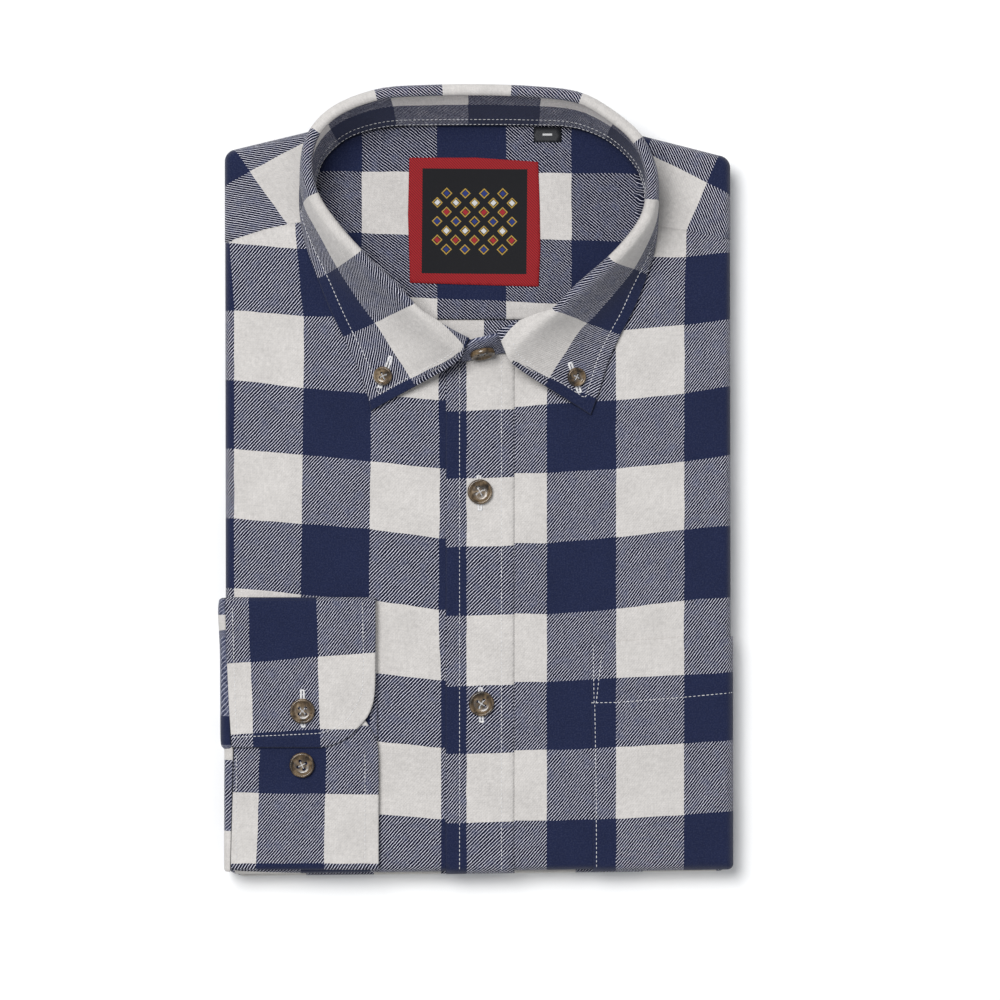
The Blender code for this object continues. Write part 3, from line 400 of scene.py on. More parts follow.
def distance(points, line):
    """Distance of each point from a line of straight runs."""
    points = np.asarray(points, float)
    nearest = np.full(len(points), 1e9)
    for a, b in zip(line, line[1:]):
        a, side = np.array(a, float), np.array(b, float) - np.array(a, float)
        share = np.clip((points - a) @ side / max(side @ side, 1e-12), 0.0, 1.0)
        nearest = np.minimum(nearest, np.linalg.norm(points - a - share[:, None] * side, axis=1))
    return nearest


def within(points, loop):
    """Whether each point lies inside a closed loop."""
    x, y = np.asarray(points, float).T
    hit = np.zeros(len(x), bool)
    for a, b in zip(loop, list(loop[1:]) + [loop[0]]):
        if a[1] != b[1]:
            hit ^= ((a[1] > y) != (b[1] > y)) & (x < a[0] + (y - a[1]) * (b[0] - a[0]) / (b[1] - a[1]))
    return hit


def beside(line, offset, step):
    """Points along a line, moved sideways."""
    run = np.array(line_points(line, step))
    way = np.gradient(run, axis=0)
    way /= np.linalg.norm(way, axis=1, keepdims=True)
    return run + np.stack([-way[:, 1], way[:, 0]], axis=1) * offset


def net(loop, step, rows=()):
    """Points and triangles over a closed loop. rows are lines that need close points beside them."""
    loop = [np.array(p, float) for p in loop]
    low, high = np.min(loop, axis=0), np.max(loop, axis=0)
    closed = loop + [loop[0]]
    close = [np.zeros((0, 2))]
    for line, offsets in rows:
        for offset in offsets:
            close.append(beside(line, offset, 2.4))
    close = np.vstack(close)
    if len(close):
        close = close[within(close, loop) & (distance(close, closed) > 0.25)]
    levels = np.arange(low[1] + step / 2, high[1], step * 0.87)
    grid = np.array([(x + (k % 2) * step / 2, y) for k, y in enumerate(levels)
                     for x in np.arange(low[0], high[0], step)])
    keep = within(grid, loop) & (distance(grid, closed) > 0.45 * step)
    for line, offsets in rows:
        keep &= distance(grid, line) > max(abs(o) for o in offsets) + 0.35 * step
    points = np.vstack([loop, close, grid[keep]])
    edges = [(i, (i + 1) % len(loop)) for i in range(len(loop))]
    found = delaunay_2d_cdt([Vector(p) for p in points], edges, [list(range(len(loop)))], 1, 1e-3)
    points = np.array([tuple(p) for p in found[0]])
    faces = []
    for a, b, c in (face[:3] for face in found[2]):
        (ax, ay), (bx, by), (cx, cy) = points[a], points[b], points[c]
        faces.append((a, b, c) if (bx - ax) * (cy - ay) > (by - ay) * (cx - ax) else (a, c, b))
    return points, faces


def folded_piece(name, stations, inner_line, lift, bands, turned=(), sewn=(), pressed=()):
    """A piece that lies on the fold and rolls under along the outline's stations.

    turned are its folded edges, sewn its rows of stitches, and pressed the edges that lie close on the
    cloth below. bands gives a flat place's bands of the check."""
    ring = [FOLD.point(s, FOLD_REACH) for s in stations]
    loop = ring + line_points(inner_line, NET_STEP)
    rows = [(line, (0.3, 0.8, 1.6, -0.3, -0.8, -1.6)) for line in turned]
    rows += [(line, (-1.0, 0.0, 1.0)) for line in sewn]
    flat, faces = net(loop, NET_STEP, rows)
    settled = np.clip(distance(flat, ring) / 14.0, 0.0, 1.0)
    z = body_top(flat[:, 0], flat[:, 1]) + lift + rumple(flat[:, 0], flat[:, 1]) * settled ** 2
    for line in sewn:
        z -= STITCH_DEPTH * np.exp(-(distance(flat, line) / STITCH_REACH) ** 2)
    for line in pressed:
        z -= PRESSED_DEPTH * np.exp(-(distance(flat, line) / PRESSED_REACH) ** 2)
    rolled_off = np.zeros(len(flat))
    for line in turned:
        rolled_off = np.maximum(rolled_off, 0.75 * FLANNEL * np.exp(-(distance(flat, line) / 0.55) ** 2))
    sheets = []
    for sheet, depth in ((0, 0.0), (1, FLANNEL)):
        top = z - (depth if sheet else rolled_off)
        points = [np.column_stack([flat, top])]
        places = [flat]
        out, deep = FOLD_REACH + lift - depth, FOLD_RADIUS + lift - depth
        turn = np.append(np.linspace(0.0, math.pi, 14), math.pi)
        inset = FOLD_REACH - out * np.sin(turn)
        inset[-1] += FOLD_RETURN
        drop = deep * np.cos(turn) - FOLD_RADIUS
        gone = np.append(0.0, np.cumsum(np.hypot(np.diff(inset), np.diff(drop))))
        for k in range(1, 15):
            spots = [FOLD.point(s, inset[k]) for s in stations]
            points.append(np.column_stack([spots, [body_top(x, y) + drop[k] for x, y in ring]]))
            places.append(np.array([FOLD.point(s, FOLD_REACH - gone[k]) for s in stations]))
        sheets.append((np.vstack(points), np.vstack(places)))
    count = len(ring)
    rows = [list(range(count))] + [[len(flat) + k * count + i for i in range(count)] for k in range(14)]
    for upper, lower in zip(rows, rows[1:]):
        faces += [(upper[i], lower[i], lower[i + 1], upper[i + 1]) for i in range(count - 1)]
    points = np.vstack([sheets[0][0], sheets[1][0]])
    places = np.vstack([sheets[0][1], sheets[1][1]])
    return cloth_piece(name, points, wall_faces(len(sheets[0][0]), faces), bands(places), flannel)


RIGHT_COLUMNS = (  # line: (y, x) along it
    (0, ((85.8, -111.1), (112.0, -113.4))),
    (1, ((-48.5, -80.3), (-6.2, -79.8), (44.9, -79.1), (78.5, -79.1), (115.7, -83.0))),
    (2, ((-144.2, -48.1), (-49.5, -49.0), (35.2, -48.1))),
    (3, ((-153.4, -15.8), (-89.0, -15.8), (-56.8, -17.0), (7.6, -16.3), (39.4, -17.0))),
)
RIGHT_ROWS = (  # line: (x, y) along it
    (0, ((-111.1, 112.0), (-80.7, 109.3))),
    (1, ((-111.1, 81.2), (-80.7, 78.5))),
    (2, ((-111.1, 49.0), (-79.3, 45.3), (-16.3, 39.4))),
    (3, ((-111.1, 17.4), (-48.1, 11.7), (-16.3, 8.3))),
    (4, ((-111.1, -14.7), (-48.1, -19.5), (-16.3, -23.9))),
    (5, ((-111.1, -46.7), (-48.1, -52.4), (-16.3, -56.8))),
    (6, ((-111.1, -79.8), (-48.1, -85.7), (-16.3, -89.2))),
    (7, ((-111.1, -111.6), (-48.1, -117.1), (-16.3, -120.1))),
    (8, ((-111.1, -145.2), (-48.1, -150.5), (-16.3, -153.0))),
)
LEFT_COLUMNS = (
    (1, ((-176.4, 32.9), (38.0, 32.9))),
    (2, ((-176.4, 64.7), (39.8, 64.7))),
    (3, ((-176.4, 95.9), (85.8, 96.2), (117.6, 97.3))),
)
LEFT_ROWS = (
    (0, ((95.9, 105.6), (117.6, 107.9))),
    (1, ((64.7, 71.5), (95.9, 74.3), (117.6, 77.1))),
    (2, ((18.0, 36.4), (33.4, 37.8), (64.7, 39.6), (95.9, 42.7), (117.6, 46.2))),
    (3, ((33.4, 6.2), (64.7, 8.3), (95.9, 11.4), (117.6, 14.5))),
    (4, ((33.4, -26.0), (64.7, -23.3), (95.9, -19.8), (117.6, -18.0))),
    (5, ((33.4, -58.5), (64.7, -56.6), (95.9, -52.4), (117.6, -51.0))),
    (6, ((33.4, -89.9), (64.7, -88.1), (95.9, -86.7), (117.6, -85.7))),
    (7, ((33.4, -121.4), (64.7, -120.0), (95.9, -118.1), (117.6, -116.7))),
    (8, ((33.4, -153.8), (64.7, -152.9), (95.9, -151.0), (117.6, -149.6))),
)
PLACKET_COLUMNS = ((0, ((-176.0, -4.2), (65.0, -4.2))), (1, ((-176.0, 33.4), (65.0, 33.4))))
PLACKET_ROWS = (
    (1, ((-13.1, 66.0), (18.0, 66.0))), (2, ((-13.1, 34.5), (18.0, 35.5))), (3, ((-13.1, 3.5), (18.0, 4.4))),
    (4, ((-13.1, -27.9), (18.0, -27.1))), (5, ((-13.1, -59.5), (18.0, -58.9))),
    (6, ((-13.1, -91.9), (18.0, -91.2))), (7, ((-13.1, -123.0), (18.0, -122.3))),
    (8, ((-13.1, -154.8), (18.0, -154.2))),
)


def bands_of(columns, rows):
    """The check's bands for a piece cut straight with its columns upright."""
    def bands(places):
        x, y = places[:, 0], places[:, 1]
        return np.column_stack([among(columns, y, x), among(rows, x, y)])
    return bands


def yoke_bands(places):
    """The yoke's warp runs across the sloping shoulders, so the check turns with each shoulder."""
    found = []
    for corner, down, across, number in (((-103.8, 145.0), (18.4, -25.8), (28.0, 14.8), 1.0),
                                         ((106.6, 139.9), (-12.4, -29.2), (28.5, -13.85), 2.0)):
        turned = np.linalg.solve(np.array([down, across]).T, (places - np.array(corner)).T)
        found.append(np.column_stack([1.0 - turned[0], number + turned[1]]))
    share = np.clip(places[:, :1] / 100.0 + 0.5, 0.0, 1.0)
    return found[0] * (1 - share) + found[1] * share


YOKE_SEAM_RIGHT = ((-115.3, 112.6), (-97.0, 117.6), (-84.0, 120.4), (-71.8, 121.3))
YOKE_SEAM_LEFT = ((117.6, 113.8), (97.5, 117.3), (84.3, 118.9), (76.8, 119.8))
NECK_RIGHT = ((-59.0, 103.5), (-48.0, 91.0), (-35.5, 79.0), (-23.5, 70.6), (-12.5, 64.6), (1.0, 61.0))
NECK_LEFT = ((68.0, 104.5), (55.0, 91.0), (41.5, 78.0), (30.0, 68.0), (19.0, 62.6), (1.5, 57.6))
NECK_BACK = ((-73.7, 126.4), (-75.4, 136.2), (-72.9, 146.8), (-66.8, 155.6), (-56.5, 162.6), (-40.0, 166.5),
             (-20.0, 167.3), (2.0, 167.4), (24.0, 167.3), (44.0, 166.5), (58.8, 161.9), (69.5, 153.6),
             (77.0, 143.7), (79.5, 134.0), (78.7, 126.0))

start = FOLD.side_at(RIGHT_SIDE, 1, YOKE_SEAM_RIGHT[0][1] + 0.8)
stop = FOLD.side_at(HEM, 0, 1.0)
line = [FOLD.point(("side", HEM, stop), FOLD_RADIUS + 8.0)] + list(reversed(NECK_RIGHT))
line += [(x, y + 0.8) for x, y in reversed(YOKE_SEAM_RIGHT[1:])]
right_front = folded_piece("right_front_cloth", FOLD.stations(RIGHT_SIDE, start, HEM, stop), line, 0.0,
                           bands_of(RIGHT_COLUMNS, RIGHT_ROWS))
lay(right_front, "right_front")

start = FOLD.side_at(HEM, 0, 1.5)
stop = FOLD.side_at(LEFT_SIDE, 1, YOKE_SEAM_LEFT[0][1] + 0.8)
line = [(x, y + 0.8) for x, y in YOKE_SEAM_LEFT[1:]] + list(NECK_LEFT)
line += [FOLD.point(("side", HEM, start), FOLD_RADIUS + 8.0)]
left_front = folded_piece("left_front_cloth", FOLD.stations(HEM, start, LEFT_SIDE, stop), line, 0.0,
                          bands_of(LEFT_COLUMNS, LEFT_ROWS))
lay(left_front, "left_front")

start = FOLD.side_at(LEFT_SIDE, 1, YOKE_SEAM_LEFT[0][1] + 0.1)
stop = FOLD.side_at(RIGHT_SIDE, 1, YOKE_SEAM_RIGHT[0][1] + 0.1)
seam_right = [(x, y + 0.1) for x, y in YOKE_SEAM_RIGHT]
seam_left = [(x, y + 0.1) for x, y in YOKE_SEAM_LEFT]
line = seam_right[1:] + list(NECK_BACK) + list(reversed(seam_left[1:]))
yoke = folded_piece("yoke_outside_cloth", FOLD.stations(LEFT_SIDE, start, RIGHT_SIDE, stop), line, 0.15,
                    yoke_bands, turned=[seam_right, seam_left],
                    sewn=[[(x, y + 2.2) for x, y in seam] for seam in (YOKE_SEAM_RIGHT, YOKE_SEAM_LEFT)])
lay(yoke, "yoke_outside", area=9400)

PLACKET_LEFT, PLACKET_RIGHT = -13.5, 18.0
PLACKET_STITCH_LEFT, PLACKET_STITCH_RIGHT = -7.3, 12.0
start = FOLD.side_at(HEM, 0, PLACKET_LEFT)
stop = FOLD.side_at(HEM, 0, PLACKET_RIGHT)
line = [FOLD.point(("side", HEM, stop), FOLD_RADIUS + 8.0), (18.0, 63.2), (8.0, 62.0), (-2.0, 59.6),
        (-8.0, 60.8), (-13.5, 64.4), FOLD.point(("side", HEM, start), FOLD_RADIUS + 8.0)]
placket = folded_piece("placket_cloth", FOLD.stations(HEM, start, HEM, stop, 4.0), line, 1.3,
                       bands_of(PLACKET_COLUMNS, PLACKET_ROWS),
                       turned=[[(-13.5, -174.4), (-13.5, 64.4)], [(18.0, -174.4), (18.0, 63.2)]],
                       sewn=[[(x, -174.4), (x, 60.0)] for x in (PLACKET_STITCH_LEFT, PLACKET_STITCH_RIGHT)],
                       pressed=[[(18.0, -174.4), (18.0, 63.2)]])
lay(placket, "placket")

POCKET_TOP = ((118.4, -69.2), (95.4, -69.2), (74.0, -70.6), (52.6, -72.0))
POCKET_SIDE = ((52.6, -72.0), (54.0, -137.0), (54.2, -163.0))
POCKET_HEM = ((53.9, -99.5), (65.3, -99.3), (96.4, -96.9), (118.0, -94.9))
POCKET_SIDE_STITCH = ((54.9, -100.9), (55.5, -136.8), (55.7, -174.4))
start = FOLD.side_at(HEM, 0, POCKET_SIDE[-1][0])
stop = FOLD.side_at(LEFT_SIDE, 1, POCKET_TOP[0][1])
line = list(POCKET_TOP[1:]) + list(POCKET_SIDE[1:])
pocket = folded_piece("pocket_cloth", FOLD.stations(HEM, start, LEFT_SIDE, stop), line, 1.1,
                      bands_of(LEFT_COLUMNS, LEFT_ROWS), turned=[POCKET_TOP, POCKET_SIDE + ((54.2, -174.4),)],
                      sewn=[POCKET_HEM, POCKET_SIDE_STITCH])
lay(pocket, "pocket")

# --- Inner yoke and back, inside the neck ---
# The yoke's second layer and the top of the back panel show inside the neck. They sag a little there, and the
# back has a box pleat at its middle, held in the seam.
NECK_DIP = 3.0
INNER_SEAM_Y = 76.9
INNER_COLUMNS = ((1, ((0.0, -52.3), (200.0, -52.3))), (2, ((0.0, -17.5), (200.0, -17.5))),
                 (3, ((0.0, 14.2), (200.0, 14.2))), (4, ((0.0, 44.2), (200.0, 44.2))),
                 (4.98, ((0.0, 75.2), (200.0, 75.2))), (4.99, ((0.0, 90.0), (200.0, 90.0))))
INNER_ROWS = ((1, ((-80.0, 88.6), (-27.0, 86.9), (8.0, 85.9), (30.0, 84.5), (80.0, 83.0))),
              (2, ((-80.0, 117.6), (-35.0, 116.2), (40.0, 113.6), (80.0, 112.4))),
              (3, ((-80.0, 145.2), (80.0, 144.0))))
PLEAT = ((-7.1, 71.2), (4.3, 76.4))


def neck_top(x, y):
    """Height of the inner yoke's face."""
    away = (x / 62.0) ** 2 + ((y - 118.0) / 48.0) ** 2
    return body_top(x, y) - 1.5 - NECK_DIP * np.maximum(0.0, 1.0 - away) ** 2


def flat_piece(name, loop, height, wall, bands, material, step=NET_STEP, turned=()):
    """A piece with no rolled edge. height gives its upper face."""
    outline = line_points(list(loop) + [loop[0]], step)[:-1]
    rows = [(line, (0.3, 0.8, 1.5, -0.3, -0.8, -1.5)) for line in turned]
    flat, faces = net(outline, step, rows)
    z = height(flat[:, 0], flat[:, 1])
    low = z - wall
    for line in turned:
        z = z - 0.7 * wall * np.exp(-(distance(flat, line) / 0.5) ** 2)
    points = np.vstack([np.column_stack([flat, z]), np.column_stack([flat, low])])
    places = np.vstack([flat, flat])
    return cloth_piece(name, points, wall_faces(len(flat), faces), bands(places), material)


def inner_yoke_bands(places):
    x, y = places[:, 0], places[:, 1]
    return np.column_stack([among(INNER_ROWS, x, y), among(INNER_COLUMNS, y, x)])


def back_bands(places):
    """The back's wrong side shows, so its twill leans the other way."""
    return np.column_stack([(3.9 - places[:, 0]) / BAND, 1.0 + (INNER_SEAM_Y - places[:, 1]) / BAND])


well = [(-75.4, 131.5), (-70.8, 117.0), (-60.2, 102.8), (-49.0, 90.2), (-36.2, 78.0)]
well_front = [(-23.5, 69.0), (-12.5, 63.0), (-2.0, 59.5), (8.0, 59.5), (19.0, 62.0), (30.0, 68.0)]
well_left = [(42.2, 77.2), (55.9, 90.1), (69.1, 103.7), (77.3, 118.1), (80.0, 131.5), (77.7, 143.7),
             (71.2, 153.2), (60.0, 161.9), (44.5, 167.0), (24.0, 167.8), (2.0, 167.9), (-20.0, 167.8),
             (-40.4, 167.2), (-58.0, 162.7), (-69.2, 154.0), (-74.4, 144.2)]
upper_seam = [(-33.0, INNER_SEAM_Y + 0.1), (40.5, INNER_SEAM_Y + 0.1)]
lower_seam = [(-33.0, INNER_SEAM_Y - 0.1), (40.5, INNER_SEAM_Y - 0.1)]
# Painted shade: the inner yoke lies in the collar's shade, so its flannel is a copy with narrower cream
# floats and more navy showing.
painted_shade_twill = flannel_finish("check flannel, painted shade", **{"Painted shade share": 0.04})
yoke_inside = flat_piece("yoke_inside_cloth", well + upper_seam + well_left, neck_top, FLANNEL,
                         inner_yoke_bands, painted_shade_twill, turned=[upper_seam])
lay(yoke_inside, "yoke_inside")


def back_top(x, y):
    """The back panel lies a little lower, and steps up over its pleat's fold."""
    along = np.clip((x - PLEAT[0][0]) / (PLEAT[1][0] - PLEAT[0][0]), 0.0, 1.0)
    below = y - (PLEAT[0][1] + (PLEAT[1][1] - PLEAT[0][1]) * along)
    step = 0.8 / (1.0 + np.exp(np.clip(below / 0.25, -40, 40)))
    return neck_top(x, y) - 0.9 + step * (x < 12.0)


lower = lower_seam[:1] + well_front + lower_seam[1:]
back_inside = flat_piece("back_inside_cloth", lower, back_top, FLANNEL, back_bands, flannel, step=2.5,
                         turned=[lower_seam, PLEAT])
lay(back_inside, "back_inside")

# --- Collar stand ---
# Two plies of flannel and an interlining, 1.3 mm thick, sewn to the neck and standing up round it. Its under
# end goes behind its over end at the front, where the neck button closes it.
COLLAR_WALL = 1.3
OVER_END_BOW = 1.2
STAND = (  # seam x, y, height above the front; fold line x, y, z; how far short of it the top stops; band
    (9.0, 61.6, 0.3, 8.6, 64.8, 33.5, 0.0, -2.35),
    (0.0, 61.4, 0.3, 0.2, 66.0, 37.0, 0.0, -2.07),
    (-12.5, 64.8, 1.9, -11.4, 71.4, 42.0, 2.4, -1.66),
    (-23.5, 70.6, 0.6, -20.2, 77.2, 43.6, 2.6, -1.27),
    (-35.5, 79.0, 0.3, -29.8, 84.3, 45.0, 2.8, -0.81),
    (-48.0, 91.0, 0.3, -41.4, 94.5, 46.6, 2.8, -0.26),
    (-59.0, 103.5, 0.3, -53.2, 105.5, 48.0, 2.0, 0.27),
    (-69.5, 117.5, 0.3, -65.4, 119.4, 49.4, 1.0, 0.82),
    (-74.0, 131.5, 0.3, -73.8, 132.8, 50.6, 0.7, 1.22),
    (-73.0, 143.5, 0.3, -76.3, 147.2, 51.8, 0.7, 1.55),
    (-68.0, 153.0, 0.3, -72.8, 160.2, 52.8, 0.7, 1.82),
    (-57.0, 161.4, 0.3, -62.0, 170.6, 53.4, 0.7, 2.20),
    (-40.0, 165.8, 0.3, -43.0, 177.6, 53.8, 0.7, 2.87),
    (-20.0, 166.4, 0.3, -21.0, 179.2, 54.0, 0.7, 3.49),
    (2.0, 166.5, 0.3, 2.2, 179.5, 54.0, 0.7, 4.16),
    (24.0, 166.4, 0.3, 25.0, 178.7, 54.0, 0.7, 4.85),
    (44.0, 165.6, 0.3, 47.0, 176.0, 53.8, 0.7, 5.47),
    (59.0, 160.6, 0.3, 62.8, 167.0, 53.4, 0.7, 5.97),
    (70.0, 152.0, 0.3, 73.0, 158.0, 52.8, 0.7, 6.42),
    (76.4, 143.0, 0.3, 78.6, 146.8, 51.8, 0.7, 6.86),
    (78.6, 131.5, 0.3, 80.2, 134.0, 50.6, 0.7, 7.24),
    (76.0, 118.5, 0.3, 77.0, 120.6, 49.4, 1.0, 7.66),
    (68.0, 104.5, 0.3, 66.0, 106.2, 48.0, 2.0, 8.17),
    (55.0, 91.0, 0.3, 52.0, 93.6, 46.6, 2.8, 8.76),
    (41.5, 78.0, 0.3, 37.9, 82.3, 45.0, 2.8, 9.35),
    (30.0, 68.0, 0.6, 27.0, 77.6, 43.6, 2.6, 9.82),
    (19.0, 62.5, 1.9, 17.0, 73.2, 42.2, 2.4, 11.05),
    (8.0, 61.0, 1.9, 6.8, 69.0, 41.2, 0.0, 11.35),
    (-2.0, 58.4, 1.9, -1.9, 67.0, 39.4, 0.0, 11.6),
    (-6.6, 57.6, 1.9, -6.4, 62.2, 33.0, 0.0, 11.8),
)
NEAR_EDGE = (0.0, 0.12, 0.35, 0.7, 1.3, 2.2, 3.4, 4.4, 4.8, 5.2, 5.6, 6.4, 8.0)  # rows beside an edge


def smooth_rows(table, at):
    """Places on a smooth curve through a table's rows, at row numbers that need not be whole."""
    table = np.asarray(table, float)
    last = len(table) - 1
    at = np.atleast_1d(np.asarray(at, float))
    start = np.clip(np.floor(at).astype(int), 0, last - 1)
    t = (at - start)[:, None]
    p0, p1, p2 = table[np.maximum(start - 1, 0)], table[start], table[start + 1]
    p3 = table[np.minimum(start + 2, last)]
    return p1 + 0.5 * t * (p2 - p0 + t * (2 * p0 - 5 * p1 + 4 * p2 - p3 + t * (3 * (p1 - p2) + p3 - p0)))


def grid_normals(grid):
    normal = np.cross(np.gradient(grid, axis=0), np.gradient(grid, axis=1))
    return normal / np.linalg.norm(normal, axis=2, keepdims=True)


def lengths(grid, axis):
    """Length along each row or column of a grid, from its start."""
    steps = np.linalg.norm(np.diff(grid, axis=axis), axis=2)
    none = np.zeros_like(np.take(steps, [0], axis=axis))
    return np.concatenate([none, np.cumsum(steps, axis=axis)], axis=axis)


def two_ply(name, middle, half, bands, nap=0.0, material=flannel):
    """A closed piece round a grid of its middle, with half its thickness at each point."""
    rows, columns = middle.shape[:2]
    normal = grid_normals(middle)
    outer, inner = middle + normal * half[..., None], middle - normal * half[..., None]
    index = np.arange(rows * columns).reshape(rows, columns)
    corners = (index[:-1, :-1], index[1:, :-1], index[1:, 1:], index[:-1, 1:])
    faces = [tuple(int(i) for i in face) for face in zip(*(c.ravel() for c in corners))]
    points = np.vstack([outer.reshape(-1, 3), inner.reshape(-1, 3)])
    places = np.vstack([bands.reshape(-1, 2)] * 2)
    raised = np.tile(np.broadcast_to(nap, (rows, columns)).ravel(), 2)
    made = cloth_piece(name, points, wall_faces(rows * columns, faces), places, material, raised)
    return made, outer, inner


def sewn_thickness(wall, from_edge, stitched=5.2):
    """Half a faced piece's thickness: closed at its edge, full over the turnings, drawn in by stitches."""
    half = wall / 2
    closing = np.sqrt(np.clip(1.0 - (1.0 - np.minimum(from_edge / half, 1.0)) ** 2, 0.01, 1.0))
    turnings = 0.22 * np.exp(-(((from_edge - 3.2) / 1.9) ** 2))
    drawn = 0.28 * np.exp(-(((from_edge - stitched) / 0.7) ** 2))
    return half * closing + turnings - drawn


def stand_grid(at, shares):
    rows = smooth_rows(STAND, at)
    foot = np.column_stack([rows[:, :2], body_top(rows[:, 0], rows[:, 1]) + rows[:, 2]])
    top = rows[:, 3:6]
    tall = np.linalg.norm(top - foot, axis=1, keepdims=True)
    lean = np.linalg.norm((top - foot)[:, :2], axis=1) / tall[:, 0]
    foot[:, 2] += lean * COLLAR_WALL / 2
    top = top + (foot - top) * rows[:, 6:7] / tall
    middle = foot[:, None] + (top - foot)[:, None] * shares[None, :, None]
    over_end = np.clip((np.asarray(at) - 25.6) / 1.6, 0.0, 1.0)[:, None] ** 2
    bowed = over_end * OVER_END_BOW * 6.75 * shares ** 2 * (1 - shares)
    middle[:, :, 1] -= bowed * 0.81
    middle[:, :, 2] += bowed * 0.59
    return middle, rows[:, 7]


stand_at = np.concatenate([[0.0, 0.01, 0.04, 0.1, 0.2, 0.35], np.arange(0.5, 28.9, 0.25),
                           [28.5, 28.7, 28.85, 28.93, 28.98, 29.0]])
stand_at = np.unique(np.round(stand_at, 3))
shares = np.array([0.0, 0.01, 0.03, 0.06, 0.1, 0.15, 0.2, 0.3, 0.42, 0.55, 0.7, 0.82, 0.9, 0.95, 0.98, 1.0])
stand_middle, stand_band = stand_grid(stand_at, shares)
up = lengths(stand_middle, 1)
round_neck = lengths(stand_middle, 0)
from_edge = np.minimum(np.minimum(round_neck, round_neck[-1] - round_neck), np.minimum(up, up[:, -1:] - up))
half = sewn_thickness(COLLAR_WALL, from_edge, 3.0)
bands = np.stack([1.37 + up / BAND, np.repeat(stand_band[:, None], len(shares), axis=1)], axis=2)
beside_neck = (stand_at > 19.3) & (stand_at < 23.0)
bands[beside_neck, :, 0] = np.minimum(bands[beside_neck, :, 0], 1.99)
# Painted light: the stand's inner face lies in the collar's shade, so its flannel has a lighter navy and
# cream than the body's.
painted_light_stand_flannel = flannel_finish("check flannel, painted light", Navy=(0.022, 0.030, 0.082, 1),
                                Cream=(0.95, 0.91, 0.88, 1))
collar_stand, stand_one_face, stand_other_face = two_ply("collar_stand_cloth", stand_middle, half, bands,
                                                         0.20, painted_light_stand_flannel)
lay(collar_stand, "collar_stand")

# --- Collar leaf ---
# The button-down leaf is two plies of flannel with a light interlining, turned over the stand. It falls
# outward all round and its two points are buttoned to the fronts, with a soft roll between.
# stand row, roll out, roll up, turn inside, edge x, y, z (0 rests), bow, flare, band at roll, at edge, row
LEAF = (
    (1.25, 7.0, -1.0, 0.0, -48.0, 34.7, 0.0, 5.0, 1.0, 0.96, 0.85, 29.2),
    (1.70, 5.3, -0.5, 0.0, -50.4, 44.6, 0.0, 5.0, 1.0, 1.18, 1.17, 28.2),
    (2.30, 3.3, 0.0, 0.0, -55.4, 57.6, 0.0, 5.0, 1.0, 1.44, 1.61, 28.2),
    (3.30, 1.5, 0.6, 0.0, -61.6, 70.2, 0.0, 5.5, 1.0, 1.79, 2.05, 27.4),
    (4.60, 0.0, 0.0, 1.5, -67.4, 82.6, 0.0, 6.0, 1.0, 2.32, 2.52, 25.2),
    (6.00, 0.0, 0.0, 3.0, -73.4, 97.6, 0.0, 6.0, 0.9, 2.99, 3.07, 19.6),
    (7.00, 0.0, 0.0, 4.0, -78.6, 112.0, 0.0, 5.5, 0.75, 3.51, 3.55, 13.8),
    (8.00, 0.0, 0.0, 4.5, -81.0, 127.0, 0.0, 5.0, 0.5, 4.02, 4.05, 12.6),
    (9.00, 0.0, 0.0, 5.0, -80.0, 144.0, 0.0, 3.5, 0.3, 4.53, 4.65, 11.8),
    (10.0, 0.0, 0.0, 5.0, -77.2, 158.2, 25.4, 2.5, 0.1, 4.97, 5.15, 12.4),
    (10.6, 0.0, 0.0, 5.0, -70.8, 166.8, 20.5, 2.5, 0.0, 5.21, 5.45, 13.0),
    (11.4, 0.0, 0.0, 5.5, -58.6, 175.4, 16.0, 3.0, 0.0, 5.65, 5.90, 13.0),
    (12.6, 0.0, 0.0, 6.0, -30.0, 178.6, 13.6, 4.0, 0.0, 6.50, 6.65, 13.0),
    (14.0, 0.0, 0.0, 6.0, 2.2, 179.2, 13.0, 4.0, 0.0, 7.54, 7.56, 13.0),
    (15.4, 0.0, 0.0, 6.0, 34.0, 178.4, 13.6, 4.0, 0.0, 8.56, 8.45, 13.0),
    (16.6, 0.0, 0.0, 5.5, 58.6, 173.2, 16.0, 3.0, 0.0, 9.35, 9.22, 13.0),
    (17.4, 0.0, 0.0, 4.5, 67.4, 166.4, 20.0, 2.2, 0.0, 9.74, 9.62, 13.0),
    (18.0, 0.0, 0.0, 4.5, 75.8, 157.8, 24.8, 2.2, 0.1, 9.95, 9.93, 13.0),
    (19.0, 0.0, 0.0, 5.0, 82.8, 144.0, 0.0, 3.5, 0.3, 10.40, 10.43, 14.0),
    (20.0, 0.0, 0.0, 4.5, 84.0, 128.0, 0.0, 4.0, 0.5, 10.85, 11.00, 13.6),
    (21.0, 0.0, 0.0, 4.0, 83.4, 112.0, 0.0, 4.5, 0.75, 11.34, 11.53, 13.8),
    (22.0, 0.0, 0.0, 3.0, 79.4, 97.6, 0.0, 5.5, 0.9, 11.85, 11.99, 18.4),
    (23.6, 0.0, 0.0, 1.5, 73.2, 82.0, 0.0, 6.0, 1.0, 12.72, 12.54, 23.2),
    (24.7, 3.0, 0.6, 0.0, 67.2, 70.6, 0.0, 5.5, 1.0, 13.20, 12.97, 24.2),
    (25.6, 5.4, 0.0, 0.0, 61.2, 57.4, 0.0, 5.0, 1.0, 13.55, 13.47, 25.8),
    (26.2, 8.2, -0.8, 0.0, 57.2, 44.6, 0.0, 5.0, 1.0, 13.76, 13.90, 25.6),
    (26.7, 11.2, -2.2, 0.0, 53.1, 32.9, 0.0, 5.0, 1.0, 13.98, 14.15, 25.5),
)
RIDGE = math.radians(75.0)
